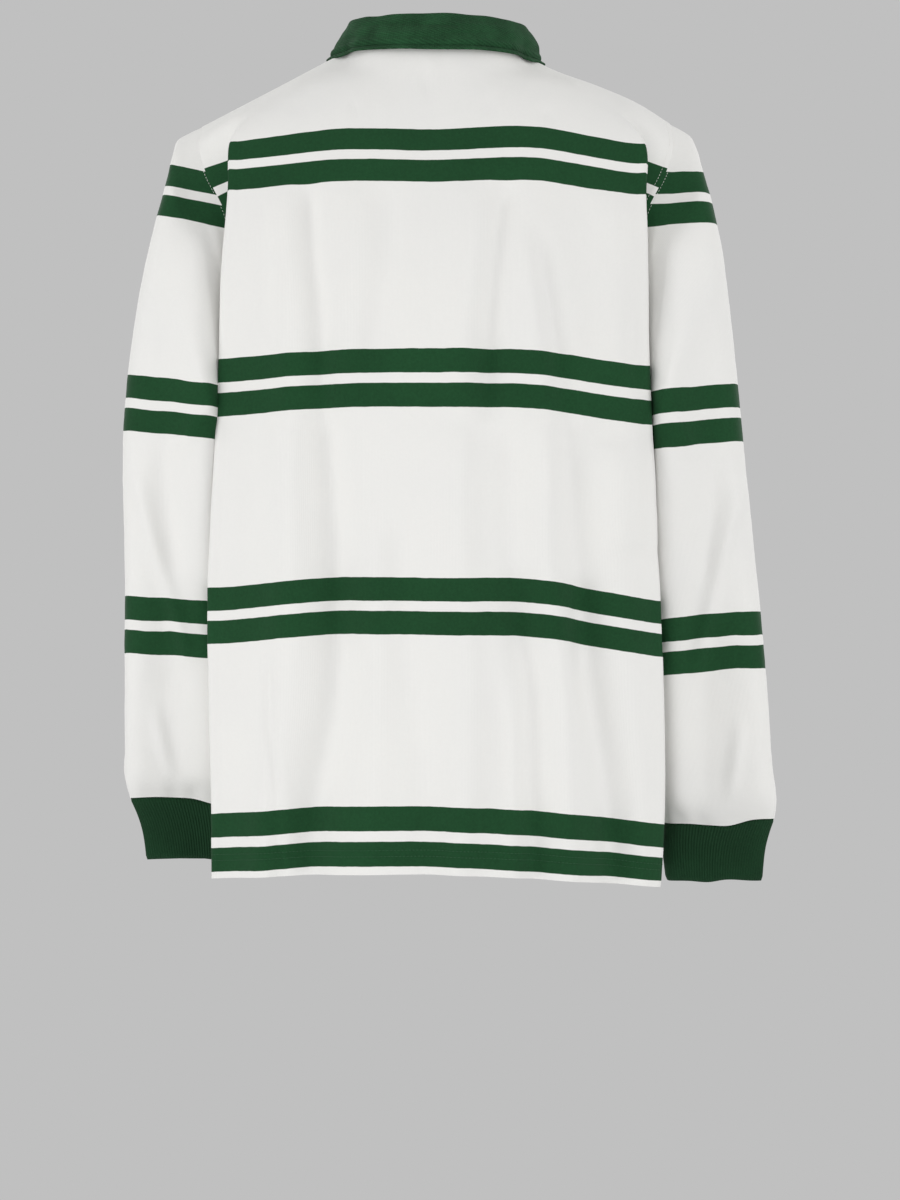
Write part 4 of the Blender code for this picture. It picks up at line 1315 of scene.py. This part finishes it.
class SHIRT_OT_placket(bpy.types.Operator):
    """Builds the closed placket with its topstitching"""

    bl_idname = "shirt.placket"
    bl_label = "Placket"

    def execute(self, context):
        surface = placket_surface()
        piece = piece_of("placket_cloth", laid_out(surface), "striped_jersey", "jersey", "placket")
        walled(piece, PLACKET_WALL)
        grid = surface[0]
        outs = outward(grid)
        down_sides = [(grid[column, :-2], outs[column, :-2]) for column in (2, grid.shape[0] - 3)]
        across_foot = [(grid[2:-2, row], outs[2:-2, row]) for row in (-3, -11)]
        stitches = rows_of_stitches(down_sides + across_foot, *PLACKET_STITCH)
        trim = piece_of("placket_stitches", stitches, "ivory_thread", "jersey")
        return {"FINISHED"}


class SHIRT_OT_buttons(bpy.types.Operator):
    """Builds the buttons, their thread and their buttonholes"""

    bl_idname = "shirt.buttons"
    bl_label = "Buttons"

    def execute(self, context):
        for number, drop in enumerate(BUTTON_DROPS, 1):
            place, side, up, out = button_frame(drop)
            turn = Matrix((side, up, out)).transposed()
            mesh, threads, hole = bmesh.new(), bmesh.new(), bmesh.new()
            disc(mesh, place, turn, BUTTON_RINGS, 48)
            bmesh.ops.holes_fill(mesh, edges=[e for e in mesh.edges if e.is_boundary], sides=60)
            bmesh.ops.recalc_face_normals(mesh, faces=mesh.faces)
            piece_of(f"button_{number}_shell", mesh, "moulded_button", "button", f"button_{number}")
            for eye in (-BUTTON_EYE, BUTTON_EYE):
                for strand in (-0.22, 0, 0.22):
                    spot = place + side * (eye + strand) * MM + out * 1.75 * MM
                    bead(threads, spot, turn, EYE_THREAD, fineness=2)
            piece_of(f"button_{number}_thread", threads, "ivory_thread", "jersey")
            for n in range(HOLE_STITCHES):
                angle = 2 * math.pi * n / HOLE_STITCHES
                dx, dy = HOLE_HALF[0] * math.cos(angle), HOLE_HALF[1] * math.sin(angle)
                spot = place + side * dx * MM + up * dy * MM - out * 0.55 * MM
                bead(hole, spot, turn, HOLE_STITCH)
            piece_of(f"buttonhole_{number}", hole, "ivory_thread", "jersey")
        return {"FINISHED"}


def above_hem(reach, column):
    """The point and the outward normal of a column, this far above the hem's edge."""
    rising, points, outs = column
    return between(reach, rising, points), between(reach, rising, outs)


class SHIRT_OT_hem(bpy.types.Operator):
    """Builds the hem's turn-up inside and its two rows of stitches"""

    bl_idname = "shirt.hem"
    bl_label = "Hem"

    def execute(self, context):
        for panel in ("back", "front"):
            grid, across, down = panel_surface(panel)
            normal = outward(grid) * SIGNS[panel]
            rest = down.max(axis=1, keepdims=True) - down
            order = np.argsort(rest, axis=1)
            columns = [(r[o], g[o], n[o]) for r, o, g, n in zip(rest, order, grid, normal)]
            lines = []
            for row in HEM_ROWS:
                read = [above_hem(row, column) for column in columns[1:-1]]
                lines.append([np.array(values) for values in zip(*read)])
            stitches = rows_of_stitches(lines, *HEM_STITCH)
            piece_of(f"hem_stitches_{panel}", stitches, "green_thread", "jersey")
            reach = TURN_UP * np.linspace(1, 0, TURN_UP_ROWS) + 0.15
            turned = []
            for column in columns:
                points, outs = above_hem(reach, column)
                turned.append(points - outs / np.linalg.norm(outs, axis=1)[:, None] * (WALL + 0.1))
            cut_down = np.broadcast_to(CUT_LENGTH - reach, (len(columns), TURN_UP_ROWS))
            inner = laid_out((np.array(turned), across[:, :TURN_UP_ROWS], cut_down), flip=panel == "back")
            walled(piece_of(f"hem_turn_up_{panel}", inner, "striped_jersey", "jersey"), TURN_UP_WALL)
        return {"FINISHED"}


class SHIRT_OT_stage(bpy.types.Operator):
    """Builds the floor, the soft studio light and the camera"""

    bl_idname = "shirt.stage"
    bl_label = "Stage"

    def execute(self, context):
        scene = context.scene
        mesh = bmesh.new()
        bmesh.ops.create_circle(mesh, cap_ends=True, segments=96, radius=FLOOR_RADIUS)
        for vertex in mesh.verts:
            vertex.co.z = FLOOR_Z
        meshed("floor", mesh, "stage_paper")
        scene.world = bpy.data.worlds.new("studio")
        scene.world.use_nodes = True
        scene.world.node_tree.nodes["Background"].inputs[0].default_value = (*[BACKGROUND] * 3, 1)
        scene.world.node_tree.nodes["Background"].inputs[1].default_value = 1.0
        sky = bpy.data.lights.new("overhead", "SUN")
        sky.angle = math.radians(120)
        sky.energy = 1.0
        overhead = placed("overhead", sky)
        overhead.rotation_euler = Vector((-0.1, 0.3, 1.0)).to_track_quat("Z", "Y").to_euler()
        for name, place, size, power in LAMPS:
            light = bpy.data.lights.new(name, "AREA")
            light.shape = "DISK"
            light.size = size
            light.energy = power
            lamp = placed(name, light)
            lamp.location = place
            lamp.rotation_euler = (Vector(place) - Vector(LIT_SPOT)).to_track_quat("Z", "Y").to_euler()
        view = bpy.data.cameras.new("camera")
        view.lens = CAMERA_LENS
        view.sensor_width = 36.0
        scene.camera = placed("camera", view)
        scene.camera.location = (CAMERA_X, CAMERA_DISTANCE, CAMERA_Z)
        scene.camera.rotation_euler = (math.radians(90), 0, math.radians(180))
        scene.view_settings.view_transform = "Standard"
        return {"FINISHED"}


class SHIRT_PT_tools(bpy.types.Panel):
    bl_idname = "SHIRT_PT_tools"
    bl_label = "Polo shirt"
    bl_space_type = "VIEW_3D"
    bl_region_type = "UI"
    bl_category = "Polo shirt"

    def draw(self, context):
        for group in (context.scene.shirt_sizes, context.scene.shirt_colours):
            for name in group.__annotations__:
                self.layout.prop(group, name)
        for operator in OPERATORS:
            self.layout.operator(operator.bl_idname)


OPERATORS = (
    SHIRT_OT_stage,
    SHIRT_OT_panels,
    SHIRT_OT_sleeves,
    SHIRT_OT_armholes,
    SHIRT_OT_cuffs,
    SHIRT_OT_collar,
    SHIRT_OT_placket,
    SHIRT_OT_buttons,
    SHIRT_OT_hem,
)
CLASSES = (ShirtSizes, ShirtColours, *OPERATORS, SHIRT_PT_tools)


def register():
    for entry in CLASSES:
        bpy.utils.register_class(entry)
    bpy.types.Scene.shirt_sizes = PointerProperty(type=ShirtSizes)
    bpy.types.Scene.shirt_colours = PointerProperty(type=ShirtColours)


def unregister():
    del bpy.types.Scene.shirt_colours
    del bpy.types.Scene.shirt_sizes
    for entry in reversed(CLASSES):
        bpy.utils.unregister_class(entry)


def main():
    register()
    for operator in OPERATORS:
        group, name = operator.bl_idname.split(".")
        getattr(getattr(bpy.ops, group), name)()


if __name__ == "__main__":
    main()
